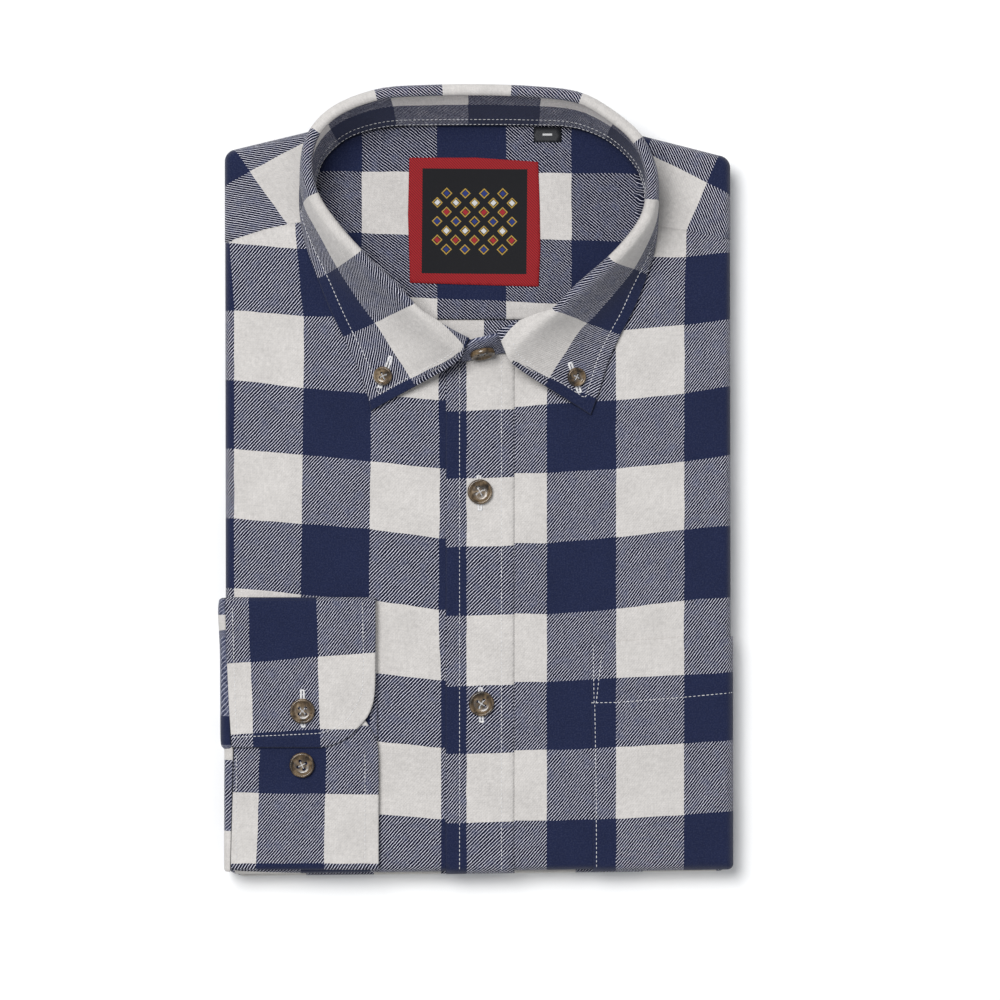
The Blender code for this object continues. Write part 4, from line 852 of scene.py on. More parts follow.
ROLL_RADIUS = 2.7


def leaf_section(row, fold, seam, along):
    """The leaf's outer face from inside the roll to its edge, as close points, and where its ridge lies."""
    off, rise, lip, ex, ey, ez, bow, flare = row[1:9]
    foot = np.array((seam[0], seam[1], body_top(seam[0], seam[1]) + seam[2]))
    out = np.array((-along[1], along[0], 0.0))
    down = (foot - fold) / np.linalg.norm(foot - fold)
    side = np.cross(along, down)
    side *= np.sign(side @ out) / np.linalg.norm(side)
    centre = fold + out * off + np.array((0.0, 0.0, rise))

    def over_roll(back):
        angle = RIDGE + back / ROLL_RADIUS
        beyond = max(0.0, angle - math.pi) * ROLL_RADIUS
        angle = min(angle, math.pi)
        return centre + ROLL_RADIUS * (math.cos(angle) * side - math.sin(angle) * down) + down * beyond

    reach = min(0.7 + 1.75 * max(0.0, lip), 5.3)
    opens = min(1.0, max(0.0, off / 2.0))
    first, ridge = fold - down * 1.9, over_roll(0.0)
    points = []
    for k in range(16):
        share = k / 16
        rolled = over_roll(reach * (1 - share))
        points.append((first + (ridge - first) * share) * opens + rolled * (1 - opens))
    points += [over_roll(-0.3 * k) for k in range(6)]
    edge = np.array((ex, ey, ez))
    start = over_roll(-1.9)
    fall = RIDGE - 1.9 / ROLL_RADIUS
    plan = (start - edge) * np.array((1.0, 1.0, 0.0))
    first_pull = start + (math.sin(fall) * side + math.cos(fall) * down) * bow
    last_pull = edge + plan * 0.45 * flare
    last_pull[2] += (start[2] - edge[2]) * (0.5 * (1 - flare) + 0.06)
    for t in np.linspace(0.0, 1.0, 40):
        pulls = 3 * first_pull * t * (1 - t) ** 2 + 3 * last_pull * t * t * (1 - t)
        points.append(start * (1 - t) ** 3 + pulls + edge * t ** 3)
    return np.array(points)


leaf_table = np.array(LEAF)
resting = leaf_table[:, 6] == 0.0
leaf_table[resting, 6] = body_top(leaf_table[resting, 4], leaf_table[resting, 5]) + 2.1
beside_end = np.array(NEAR_EDGE) / 11.0
leaf_at = np.concatenate([beside_end, np.arange(1.0, 25.1, 0.2), 26.0 - beside_end])
leaf_at = np.unique(np.round(leaf_at, 4))
rows = smooth_rows(leaf_table, leaf_at)
stand_table = np.array(STAND)
folds = smooth_rows(stand_table[:, 3:6], rows[:, 0])
seams = smooth_rows(stand_table[:, :3], rows[:, 0])
ahead = smooth_rows(stand_table[:, 3:6], np.minimum(rows[:, 0] + 0.2, 29.0))
behind = smooth_rows(stand_table[:, 3:6], np.maximum(rows[:, 0] - 0.2, 0.0))
leaf_outer, leaf_bands, ridges = [], [], []
for row, fold, seam, way in zip(rows, folds, seams, ahead - behind):
    way[2] = 0.0
    section = leaf_section(row, fold, seam, way / np.linalg.norm(way))
    run = np.concatenate([[0.0], np.cumsum(np.linalg.norm(np.diff(section, axis=0), axis=1))])
    edge_rows = run[-1] - np.array(NEAR_EDGE)[::-1]
    lip_rows = np.array((0.0, 0.12, 0.35, 0.7))
    at = np.concatenate([lip_rows, np.linspace(1.2, edge_rows[0], 26)[:-1], edge_rows])
    leaf_outer.append(np.column_stack([np.interp(at, run, section[:, i]) for i in range(3)]))
    from_ridge = at - run[16]
    share = np.clip(from_ridge / (run[-1] - run[16]), 0.0, 1.0)
    leaf_bands.append(np.column_stack([1.0 + (from_ridge - row[11]) / BAND, share]))
    ridges.append(section[16, :2])
leaf_outer, leaf_bands, ridges = np.array(leaf_outer), np.array(leaf_bands), np.array(ridges)
spread = rows[:, 4:6] - ridges


def off_line(at):
    """How far each point of the leaf lies off the straight line from ridge to edge, at a row number."""
    at = np.clip(at, 0, len(rows) - 1)
    line = [np.interp(at, np.arange(len(rows)), values[:, i]) for values in (spread, ridges) for i in (0, 1)]
    return line[0] * (leaf_outer[:, :, 1] - line[3]) - line[1] * (leaf_outer[:, :, 0] - line[2])


own = np.repeat(np.arange(len(rows), dtype=float)[:, None], leaf_outer.shape[1], axis=1)
moved = own.copy()
for _ in range(3):
    slope = off_line(moved + 0.5) - off_line(moved - 0.5)
    moved = np.clip(moved - off_line(moved) / np.where(np.abs(slope) < 1.0, 1e9, slope), own - 8.0, own + 8.0)
straight = np.clip((rows[:, 8] - 0.75) / 0.2, 0.0, 1.0)[:, None] * (leaf_bands[:, :, 1] > 0)
moved = np.clip(own + (moved - own) * straight, 0, len(rows) - 1)
at_ridge, at_edge = (np.interp(moved, np.arange(len(rows)), rows[:, i]) for i in (9, 10))
leaf_bands[:, :, 1] = at_ridge + (at_edge - at_ridge) * leaf_bands[:, :, 1]
down_leaf, round_leaf = lengths(leaf_outer, 1), lengths(leaf_outer, 0)
from_edge = np.minimum(np.minimum(round_leaf, round_leaf[-1] - round_leaf), down_leaf[:, -1:] - down_leaf)
half = sewn_thickness(COLLAR_WALL, np.minimum(from_edge, down_leaf + 0.2))
normal = grid_normals(leaf_outer)
facing_out = -1.0 if normal[len(normal) // 2, 30, 1] < 0.0 else 1.0
leaf_middle = leaf_outer - normal * facing_out * COLLAR_WALL / 2
nap = 0.03 * np.clip((0.86 - np.abs(normal[:, :, 2])) / 0.3, 0.0, 1.0)
collar_leaf, leaf_one_face, leaf_other_face = two_ply("collar_leaf_cloth", leaf_middle, half, leaf_bands, nap)
lay(collar_leaf, "collar_leaf", area=20500)

# --- Label and size tab ---
# The woven label has a red twill border and a black field with rows of small diamonds in gold, blue, red and
# white. The black size tab is caught in the seam above it. Both are sewn flat to the inner yoke.
LABEL_CORNERS = ((-30.2, 93.8), (29.1, 92.0), (29.9, 108.8), (29.6, 130.0), (28.9, 149.5), (0.0, 151.5),
                 (-30.5, 151.4), (-31.1, 125.0))
LABEL_MIDDLE = (-0.6, 122.0)
LABEL_TILT = math.radians(-0.5)
LABEL_FIELD = (24.3, 24.1)
LATTICE = 8.6
GOLD = (0.42, 0.27, 0.05, 1)
BLACK_FIELD = (0.0055, 0.0055, 0.0075, 1)
LABEL_RED = (0.41, 0.010, 0.014, 1)

woven_label, tree, shader = finish("woven label", Roughness=0.7, Specular_IOR_Level=0.2, Sheen_Weight=0.1)
place = finish_node(tree, "ShaderNodeUVMap", uv_map="cloth").outputs[0]
threads = vector_calc(tree, "SNAP", place, (0.30, 0.30, 1.0))
axes = finish_node(tree, "ShaderNodeSeparateXYZ", {0: threads})
x, y = axes.outputs[0], axes.outputs[1]
rising = calc(tree, "DIVIDE", calc(tree, "ADD", x, y), LATTICE)
falling = calc(tree, "DIVIDE", calc(tree, "SUBTRACT", x, y), LATTICE)
cell = [calc(tree, "FLOOR", calc(tree, "ADD", line, 0.5)) for line in (rising, falling)]
apart = [calc(tree, "ABSOLUTE", calc(tree, "SUBTRACT", line, middle))
         for line, middle in zip((rising, falling), cell)]
away = calc(tree, "MAXIMUM", *apart)
outline = calc(tree, "MULTIPLY", calc(tree, "GREATER_THAN", away, 0.22), calc(tree, "LESS_THAN", away, 0.29))
heart = calc(tree, "LESS_THAN", away, 0.17)
kind = calc(tree, "FLOORED_MODULO", calc(tree, "ADD", cell[0], calc(tree, "MULTIPLY", cell[1], 2.0)), 3.0)
colour = blend(tree, calc(tree, "GREATER_THAN", kind, 0.5), (0.018, 0.032, 0.16, 1), (0.30, 0.016, 0.024, 1))
colour = blend(tree, calc(tree, "GREATER_THAN", kind, 1.5), colour, (0.55, 0.55, 0.55, 1))
motif = blend(tree, heart, blend(tree, outline, BLACK_FIELD, GOLD), colour)
width = calc(tree, "LESS_THAN", calc(tree, "ABSOLUTE", calc(tree, "ADD", *cell)), 4.5)
height = calc(tree, "LESS_THAN", calc(tree, "ABSOLUTE", calc(tree, "SUBTRACT", *cell)), 3.5)
across = calc(tree, "DIVIDE", calc(tree, "ABSOLUTE", x), LABEL_FIELD[0])
upward = calc(tree, "DIVIDE", calc(tree, "ABSOLUTE", y), LABEL_FIELD[1])
out_of_centre = calc(tree, "MAXIMUM", across, upward)
field = blend(tree, calc(tree, "MULTIPLY", width, height), BLACK_FIELD, motif)
axes = finish_node(tree, "ShaderNodeSeparateXYZ", {0: place})
slanting = calc(tree, "ADD", axes.outputs[0], axes.outputs[1])
ribs = calc(tree, "PINGPONG", calc(tree, "MULTIPLY", slanting, 0.80), 0.5)
ribs = calc(tree, "MULTIPLY", ribs, 2.0)
border = blend(tree, ribs, (0.09, 0.006, 0.010, 1), LABEL_RED)
face = blend(tree, calc(tree, "GREATER_THAN", out_of_centre, 1.0), field, border)
weft = calc(tree, "PINGPONG", calc(tree, "MULTIPLY", axes.outputs[1], 3.3), 0.5)
grain = speckle(tree, place, 3.0, 3.0, 0.7)
shade = calc(tree, "ADD", calc(tree, "MULTIPLY", grain, 0.7), calc(tree, "MULTIPLY", weft, 0.5))
shade = calc(tree, "ADD", shade, 0.55)
face = vector_calc(tree, "SCALE", face, shade)
tree.links.new(face, shader.inputs["Base Color"])
raised = calc(tree, "ADD", weft, calc(tree, "MULTIPLY", away, 0.5))
relief = finish_node(tree, "ShaderNodeBump", {"Height": raised, "Strength": 0.5, "Distance": 0.00015})
tree.links.new(relief.outputs[0], shader.inputs["Normal"])


def label_place(places):
    """Millimetres across and up from the label's middle, as it is sewn on a little askew."""
    c, s = math.cos(LABEL_TILT), math.sin(LABEL_TILT)
    away = places - np.array(LABEL_MIDDLE)
    return np.column_stack([away @ (c, s), away @ (-s, c)])


def on_inner_yoke(x, y):
    """Height of the face of what is sewn flat to the inner yoke."""
    return neck_top(x, y) + 0.85


label = flat_piece("woven_label_cloth", LABEL_CORNERS, on_inner_yoke, 0.6, label_place, woven_label,
                   turned=[LABEL_CORNERS + LABEL_CORNERS[:1]])
lay(label, "label")

TAB_CORNERS = ((26.8, 158.6), (39.5, 158.6), (39.5, 165.4), (26.8, 165.5))
TAB_MIDDLE = (33.1, 162.0)
tab_satin, tree, shader = finish("black tab satin", Roughness=0.5, Specular_IOR_Level=0.3)
place = finish_node(tree, "ShaderNodeUVMap", uv_map="cloth").outputs[0]
axes = finish_node(tree, "ShaderNodeSeparateXYZ", {0: place})
across = calc(tree, "LESS_THAN", calc(tree, "ABSOLUTE", axes.outputs[0]), 2.2)
bar = calc(tree, "MULTIPLY", across, calc(tree, "LESS_THAN", calc(tree, "ABSOLUTE", axes.outputs[1]), 0.45))
weft = calc(tree, "PINGPONG", calc(tree, "MULTIPLY", axes.outputs[1], 3.6), 0.5)
face = blend(tree, bar, (0.014, 0.015, 0.019, 1), (0.55, 0.55, 0.55, 1))
face = vector_calc(tree, "SCALE", face, calc(tree, "ADD", weft, 0.75))
tree.links.new(face, shader.inputs["Base Color"])
relief = finish_node(tree, "ShaderNodeBump", {"Height": weft, "Strength": 0.4, "Distance": 0.00012})
tree.links.new(relief.outputs[0], shader.inputs["Normal"])
size_tab = flat_piece("size_tab_cloth", TAB_CORNERS, on_inner_yoke, 0.6,
                      lambda places: places - np.array(TAB_MIDDLE), tab_satin, step=2.0)
lay(size_tab, "size_tab", area=88.0)

# --- Cuff and sleeve ---
# The right cuff is two plies of flannel with an interlining, buttoned round on itself and pressed flat on the
# front. Its over end has a rounded corner. The end of the sleeve comes round the fold's side to meet it.
CUFF_WALL = 1.6
CUFF = (  # y, height of its middle above the front, x at the sleeve seam, x at the wrist edge
    (-119.9, 4.7, -111.8, -71.5), (-118.2, 4.7, -111.9, -64.0), (-114.6, 4.7, -112.2, -57.6),
    (-110.3, 4.7, -112.5, -53.4), (-104.5, 4.7, -112.9, -48.8), (-95.0, 4.7, -113.4, -46.2),
    (-74.0, 4.7, -114.3, -45.8), (-55.0, 4.7, -114.8, -45.8), (-52.9, 4.3, -114.8, -45.8),
    (-51.6, 2.75, -114.6, -45.7), (-52.9, 1.2, -113.9, -45.6), (-55.0, 0.8, -113.9, -45.5),
    (-90.0, 0.8, -112.7, -45.2), (-135.0, 0.8, -111.8, -44.8), (-172.6, 0.8, -112.2, -44.4),
    (-174.6, 1.1, -112.2, -44.4), (-175.4, 2.2, -112.2, -44.4), (-174.4, 3.2, -112.2, -44.4),
    (-170.0, 3.1, -112.3, -44.4), (-150.0, 2.8, -111.8, -44.4), (-124.0, 2.7, -111.0, -44.5),
    (-116.0, 2.7, -111.0, -45.6), (-108.5, 2.7, -111.0, -49.8), (-104.0, 2.7, -111.0, -53.6),
)
CUFF_OVER = (
    ((1, ((-118.0, -101.9), (-50.7, -104.2))), (2, ((-118.0, -71.2), (-50.7, -73.0)))),
    ((1, ((-113.8, -81.4), (-72.6, -78.2), (-46.0, -76.3))), (2, ((-112.0, -113.9), (-71.7, -111.4)))),
)
CUFF_UNDER = (
    ((1, ((-173.2, -100.7), (-122.7, -99.0))), (2, ((-173.2, -69.6), (-122.7, -68.6)))),
    ((1, ((-112.6, -140.6), (-48.4, -141.6))), (2, ((-112.6, -173.2), (-48.4, -173.2)))),
)
strip = smooth_rows(CUFF, np.linspace(0, len(CUFF) - 1, 1200))
strip_run = np.concatenate([[0.0], np.cumsum(np.hypot(np.diff(strip[:, 0]), np.diff(strip[:, 1])))])
fold_at = strip_run[np.argmax(strip[:, 0])]
near = np.array(NEAR_EDGE)
end_at = strip_run[-1]
at = np.concatenate([near, np.arange(11.0, fold_at - 5, 3.0), np.arange(fold_at - 5, fold_at + 6, 0.6),
                     np.arange(fold_at + 8, end_at - 85, 8.0), np.arange(end_at - 80, end_at - 60, 0.6),
                     np.arange(end_at - 59, end_at - 10, 3.0), end_at - near[::-1]])
rows = np.column_stack([np.interp(at, strip_run, strip[:, i]) for i in range(4)])
shares = np.linspace(0.0, 1.0, 12)
middle = []
for y, above, left, right in rows:
    x = np.concatenate([[left, left + 0.3, left + 0.8], left + 1.5 + (right - 8.5 - left - 1.5) * shares[:-1],
                        right - near[::-1]])
    middle.append(np.column_stack([x, np.full(len(x), y), body_top(x, y) + 0.3 + above]))
middle = np.array(middle)
unrolled = np.stack([middle[:, :, 0], np.repeat(at[:, None], middle.shape[1], axis=1)], axis=2)
free_edge = [(rows[0, 2], at[0])] + list(zip(rows[:, 3], at)) + [(rows[-1, 2], at[-1])]
from_edge = distance(unrolled.reshape(-1, 2), free_edge).reshape(middle.shape[:2])
half = sewn_thickness(CUFF_WALL, from_edge)
from_seam = (middle[:, :, 0] - rows[:, 2:3]) + 0.15
closing = np.sqrt(np.clip(1.0 - (1.0 - np.minimum(from_seam / 0.8, 1.0)) ** 2, 0.03, 1.0))
half = np.minimum(half, CUFF_WALL / 2 * closing)
over_place = np.stack([unrolled[:, :, 0], rows[0, 0] + unrolled[:, :, 1]], axis=2).reshape(-1, 2)
under_place = np.stack([unrolled[:, :, 0], rows[-1, 0] - (at[-1] - unrolled[:, :, 1])], axis=2)
under_place = under_place.reshape(-1, 2)
turn_at = at[np.argmin(rows[:, 0])]
behind = np.repeat(((at > fold_at + 4) & (at < turn_at))[:, None], middle.shape[1], axis=1).reshape(-1, 1)
under = np.repeat((at >= turn_at)[:, None], middle.shape[1], axis=1).reshape(-1, 1)
bands = np.where(under, bands_of(*CUFF_UNDER)(under_place), bands_of(*CUFF_OVER)(over_place))
bands = np.where(behind, bands_of(RIGHT_COLUMNS, RIGHT_ROWS)(middle[:, :, :2].reshape(-1, 2)), bands)
cuff, _, _ = two_ply("cuff_cloth", middle, half, bands.reshape(*middle.shape[:2], 2))
lay(cuff, "cuff")

SLEEVE_PATH = ((-112.6, 25.6), (-115.7, 24.6), (-116.4, 21.0), (-116.5, 15.0), (-116.4, 8.0),
               (-115.2, 3.0))
SLEEVE_ROWS = (  # y, wall, where its top end meets the cuff (x), how far in from the side it lies
    (-51.6, 1.6, -114.3, 0.0), (-58.0, 2.3, -114.1, 0.1), (-76.0, 2.4, -113.4, 1.0),
    (-98.0, 2.4, -112.4, 1.2), (-117.5, 2.2, -112.0, 1.2), (-120.4, 1.1, -111.3, 1.7),
    (-140.0, 1.1, -111.7, 1.7), (-162.0, 1.1, -112.2, 1.7), (-177.0, 1.1, -112.5, 1.7),
)
SLEEVE_CHECK = (
    ((1, ((-180.0, -90.0), (-119.9, -90.0), (-118.6, -135.0), (-68.0, -135.0), (-65.5, -110.0),
          (-50.0, -110.0))),),
    ((1, ((-125.0, -59.0), (-112.0, -59.0))), (2, ((-125.0, -105.9), (-112.0, -105.9))),
     (3, ((-125.0, -118.6), (-112.0, -118.6))), (4, ((-125.0, -125.5), (-112.0, -125.5))),
     (5, ((-125.0, -158.3), (-112.0, -158.3)))),
)
ALONG_SLEEVE, ROUND_SLEEVE = 97, 26
sleeve_at = np.linspace(0, len(SLEEVE_ROWS) - 1, ALONG_SLEEVE)
rows = smooth_rows(SLEEVE_ROWS, sleeve_at)
inner = []
for y, wall, top_x, shift in rows:
    path = ((top_x, SLEEVE_PATH[0][1]),) + tuple((x + shift, z) for x, z in SLEEVE_PATH[1:])
    round_side = smooth_rows(path, np.linspace(0, len(path) - 1, ROUND_SLEEVE))
    inner.append(np.column_stack([round_side[:, 0], np.full(ROUND_SLEEVE, y), round_side[:, 1]]))
inner = np.array(inner)
normal = grid_normals(inner)
normal *= -np.sign(normal[0, 12, 0])
half = np.repeat(rows[:, 1:2] / 2, ROUND_SLEEVE, axis=1)
ends = np.minimum(lengths(inner, 0), lengths(inner, 0)[-1] - lengths(inner, 0))
ends = np.minimum(ends, lengths(inner, 1))
half = half * np.sqrt(np.clip(1.0 - (1.0 - np.minimum(ends / 1.1, 1.0)) ** 2, 0.04, 1.0))
middle = inner + normal * rows[:, 1:2, None] / 2
around = lengths(inner, 1)
places = np.stack([inner[:, :1, 0] - around, inner[:, :, 1]], axis=2).reshape(-1, 2)
nap = np.repeat(np.where(rows[:, :1] > -119.5, 0.30, 0.08), ROUND_SLEEVE, axis=1)
bands = bands_of(*SLEEVE_CHECK)(places).reshape(ALONG_SLEEVE, ROUND_SLEEVE, 2)
sleeve, _, _ = two_ply("right_sleeve_cloth", middle, half, bands, nap)
lay(sleeve, "right_sleeve")

# --- Folded layers ---
# Under the fronts lie the back, the left sleeve, the side flaps and the tail, pressed together. Their folded
# edges show one above another all round, and the tail's fold peeps out along the bottom.
PLY = 2.4
LAYER_TOP = 9.6
PLY_INSETS = (0.6, 0.3, 1.3, 0.5)
TAIL_HEM = ((-108.6, 36.0), (-96.0, 60.0), (-62.0, 92.0), (-22.0, 107.0), (22.0, 107.0), (62.0, 92.0),
            (96.0, 60.0), (111.6, 36.0))
LOWER = FoldOutline(LOWER_CORNERS)
NECK_WELL = [tuple(spot) for spot in beside([row[:2] for row in STAND[2:-2]], 3.0, 6.0)[::-1]]
middle_back = FOLD.length[0] / 2
stations = FOLD.stations(0, middle_back, 0, middle_back, 7.0)[:-1]
ring = [FOLD.point(s, FOLD_RADIUS) for s in stations]
count = len(ring)
flat, faces = net(ring, 15.0, rows=[(NECK_WELL + NECK_WELL[:1], (-0.2, 3.0))])
sunk = within(flat, NECK_WELL) & (distance(flat, NECK_WELL + NECK_WELL[:1]) > 1.5)
z = np.where(sunk, neck_top(flat[:, 0], flat[:, 1]) - 1.8, body_top(flat[:, 0], flat[:, 1]) - 1.25)
points, places = [np.column_stack([flat, z])], [flat]
roll = FOLD_RADIUS - 1.25
edge_rings = []
for k in range(1, 8):
    angle = math.pi * k / 7
    inset, height = FOLD_RADIUS - roll * math.sin(angle), roll * math.cos(angle) - FOLD_RADIUS
    edge_rings.append((FOLD, inset, height, True))
edge_rings.append((FOLD, FOLD_RADIUS + FOLD_RETURN + 0.8, -FOLD_RADIUS - roll, True))
edge_rings.append((LOWER, FOLD_RADIUS + FOLD_RETURN, LAYER_TOP, False))
for i, inset in enumerate(PLY_INSETS):
    for back, drop in ((4.2, 0.0), (1.0, 0.06), (0.3, 0.2), (0.0, 0.5), (0.3, 0.8), (1.0, 0.94)):
        edge_rings.append((LOWER, inset + back, LAYER_TOP - PLY * (i + drop), False))
edge_rings.append((LOWER, PLY_INSETS[-1] + 5.0, 0.0, False))
previous, below, unrolled_inset = list(range(count)), None, FOLD_RADIUS
for outline, inset, height, hangs in edge_rings:
    spots = []
    for s in stations:
        if outline is LOWER and s[0] == "side":
            s = ("side", s[1], s[2] * LOWER.length[s[1]] / FOLD.length[s[1]])
        spots.append(outline.point(s, inset))
    heights = [body_top(*spot) + height for spot in ring] if hangs else [height] * count
    placed = np.column_stack([spots, heights])
    if below is not None:
        unrolled_inset -= float(np.linalg.norm(placed[count // 3] - below[count // 3]))
    if outline is LOWER and inset - min(PLY_INSETS) > 3.5:
        unrolled_inset = 4.2
    below = placed
    first = sum(len(p) for p in points)
    row = list(range(first, first + count))
    points.append(placed)
    places.append(np.array([outline.point(s, unrolled_inset) for s in stations]))
    faces += [(previous[i], row[i], row[(i + 1) % count], previous[(i + 1) % count]) for i in range(count)]
    previous = row
base, base_faces = net([p[:2] for p in points[-1]], 15.0, rows=[(TAIL_HEM, (-0.4, 0.4))])
first = sum(len(p) for p in points)
recessed = base[:, 1] > np.interp(base[:, 0], *np.array(TAIL_HEM).T, left=300.0, right=300.0)
points.append(np.column_stack([base[count:], np.where(recessed[count:], 1.1, 0.0)]))
places.append(base[count:])
rename = previous + list(range(first, first + len(base) - count))
faces += [tuple(rename[i] for i in reversed(face)) for face in base_faces]


def tail_bands(places):
    return np.column_stack([(places[:, 0] + 109.5) / 31.6 + 8.0, 1.5 - (places[:, 1] + 178.0) / BAND])


layers = cloth_piece("folded_layers_cloth", np.vstack(points), faces, tail_bands(np.vstack(places)), flannel)
lay(layers, "folded_core")

# --- Thread ---
# White cotton thread: lock stitches 2 mm apart along the edges, and close bar stitches round each
# buttonhole. Every stitch lies on the face of the cloth.
EDGE_STITCH = (2.0, 1.45, 0.36)  # pitch, length, thickness
COLLAR_STITCH = (2.0, 1.45, 0.35)
STAND_STITCH = (2.0, 1.45, 0.34)
CUFF_STITCH = (1.85, 1.35, 0.38)
BUTTONHOLE_STITCH = (0.40, 1.15, 0.55)
BUTTON_THREAD = (0.5, 0.7, 0.20)
cotton, tree, shader = finish("white sewing thread", Roughness=0.75, Specular_IOR_Level=0.25,
                              Sheen_Weight=0.1)
place = finish_node(tree, "ShaderNodeTexCoord").outputs["Object"]
tone = ramp(tree, speckle(tree, place, 900.0, 2.0), 0.3, 0.7)
tree.links.new(blend(tree, tone, (0.58, 0.58, 0.60, 1), (0.80, 0.79, 0.78, 1)), shader.inputs["Base Color"])

thread_row = bpy.data.node_groups.new("row of thread", "GeometryNodeTree")
for socket, kind, value in (("Line", "NodeSocketGeometry", None), ("Pitch", "NodeSocketFloat", 0.003),
                            ("Length", "NodeSocketFloat", 0.002), ("Thickness", "NodeSocketFloat", 0.0004),
                            ("Turn", "NodeSocketFloat", 0.0)):
    put = thread_row.interface.new_socket(socket, in_out="INPUT", socket_type=kind)
    if value is not None:
        put.default_value = value
thread_row.interface.new_socket("Stitches", in_out="OUTPUT", socket_type="NodeSocketGeometry")
given, out = thread_row.nodes.new("NodeGroupInput"), thread_row.nodes.new("NodeGroupOutput")
line = finish_node(thread_row, "GeometryNodeMeshToCurve", {"Mesh": given.outputs["Line"]}).outputs[0]


def thread_node(kind, sockets=None, output=0, **settings):
    """The output of one node of the row of thread."""
    return finish_node(thread_row, kind, sockets, **settings).outputs[output]


spaced = thread_node("GeometryNodeResampleCurve", {"Curve": line, "Length": given.outputs["Pitch"]},
                     mode="LENGTH")
facing = thread_node("GeometryNodeInputNamedAttribute", {"Name": "cloth_face"}, data_type="FLOAT_VECTOR")
along = thread_node("GeometryNodeInputTangent")
turned = thread_node("FunctionNodeAlignRotationToVector", {"Vector": facing}, axis="Z")
turned = thread_node("FunctionNodeAlignRotationToVector", {"Rotation": turned, "Vector": along}, axis="X",
                     pivot_axis="Z")
twist = thread_node("ShaderNodeCombineXYZ", {"Z": given.outputs["Turn"]})
twist = thread_node("FunctionNodeEulerToRotation", {0: twist})
turned = thread_node("FunctionNodeRotateRotation", {0: turned, 1: twist}, rotation_space="LOCAL")
bead = thread_node("GeometryNodeMeshUVSphere", {"Segments": 8, "Rings": 5, "Radius": 0.5})
varied = thread_node("FunctionNodeRandomValue", {2: 0.88, 3: 1.12, "Seed": 5}, 1, data_type="FLOAT")
thick = given.outputs["Thickness"]
size = thread_node("ShaderNodeCombineXYZ", {"X": given.outputs["Length"], "Y": thick, "Z": thick})
size = vector_calc(thread_row, "SCALE", size, varied)
sewn = thread_node("GeometryNodeInstanceOnPoints", {"Points": spaced, "Instance": bead,
                                                    "Rotation": turned, "Scale": size})
sewn = thread_node("GeometryNodeRealizeInstances", {0: sewn})
sewn = thread_node("GeometryNodeSetMaterial", {"Geometry": sewn, "Material": cotton})
thread_row.links.new(sewn, out.inputs[0])


def sew(name, lines, pitch, length, thickness, turn=0.0):
    """A piece of stitches along lines. A line is points and the way the cloth faces at each."""
    points = np.vstack([line for line, _ in lines])
    faces_up = np.vstack([up for _, up in lines])
    edges, first = [], 0
    for line, _ in lines:
        edges += [(first + i, first + i + 1) for i in range(len(line) - 1)]
        first += len(line)
    mesh = bpy.data.meshes.new(name + "_line")
    mesh.from_pydata((points * MM).tolist(), edges, [])
    mesh.attributes.new("cloth_face", "FLOAT_VECTOR", "POINT").data.foreach_set("vector", faces_up.ravel())
    row = bpy.data.objects.new(name + "_line", mesh)
    bpy.context.scene.collection.objects.link(row)
    nodes = row.modifiers.new("thread", "NODES")
    nodes.node_group = thread_row
    sizes = {"Pitch": pitch * MM, "Length": length * MM, "Thickness": thickness * MM, "Turn": turn}
    for socket in thread_row.interface.items_tree:
        if socket.name in sizes and socket.in_out == "INPUT":
            nodes[socket.identifier] = sizes[socket.name]
    made = bpy.data.meshes.new_from_object(row.evaluated_get(bpy.context.evaluated_depsgraph_get()))
    bpy.data.objects.remove(row)
    made.name = name
    made.shade_smooth()
    stitches = bpy.data.objects.new(name, made)
    bpy.context.scene.collection.objects.link(stitches)
    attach(stitches, "root")
    return stitches


class Surface:
    """The faces of one or more cloth pieces, felt along a straight line."""

    def __init__(self, *pieces):
        self.trees = []
        for piece in pieces:
            points = [tuple(v.co) for v in piece.data.vertices]
            faces = [tuple(face.vertices) for face in piece.data.polygons]
            self.trees.append(BVHTree.FromPolygons(points, faces))

    def felt(self, start, way):
        """Where a straight line from a place first meets the cloth, and the way the cloth faces there."""
        start = Vector(start) * MM
        hits = [tree.ray_cast(start, Vector(way))[:2] for tree in self.trees]
        hits = [hit for hit in hits if hit[0] is not None]
        spot, facing = min(hits, key=lambda hit: (hit[0] - start).length)
        return np.array(spot) / MM, np.array(facing)

    def at(self, x, y):
        return self.felt((x, y, 200.0), (0, 0, -1))

    def line(self, corners, step=2.0, raised=0.05):
        found = [self.at(x, y) for x, y in line_points(corners, step)]
        spots = [spot + facing * raised for spot, facing in found]
        return np.array(spots), np.array([facing for _, facing in found])


on_placket = Surface(placket)
rows = [on_placket.line(((x, -175.4), (x, top)))
        for x, top in ((PLACKET_STITCH_LEFT, 58.0), (PLACKET_STITCH_RIGHT, 57.0))]
sew("placket_stitches", rows, *EDGE_STITCH)
on_pocket = Surface(pocket, left_front)
rows = [on_pocket.line(POCKET_HEM), on_pocket.line(POCKET_SIDE_STITCH),
        on_pocket.line(((54.1, -73.0), (54.6, -99.0))), on_pocket.line(((57.9, -78.5), (55.6, -99.1)))]
sew("pocket_stitches", rows, *EDGE_STITCH)


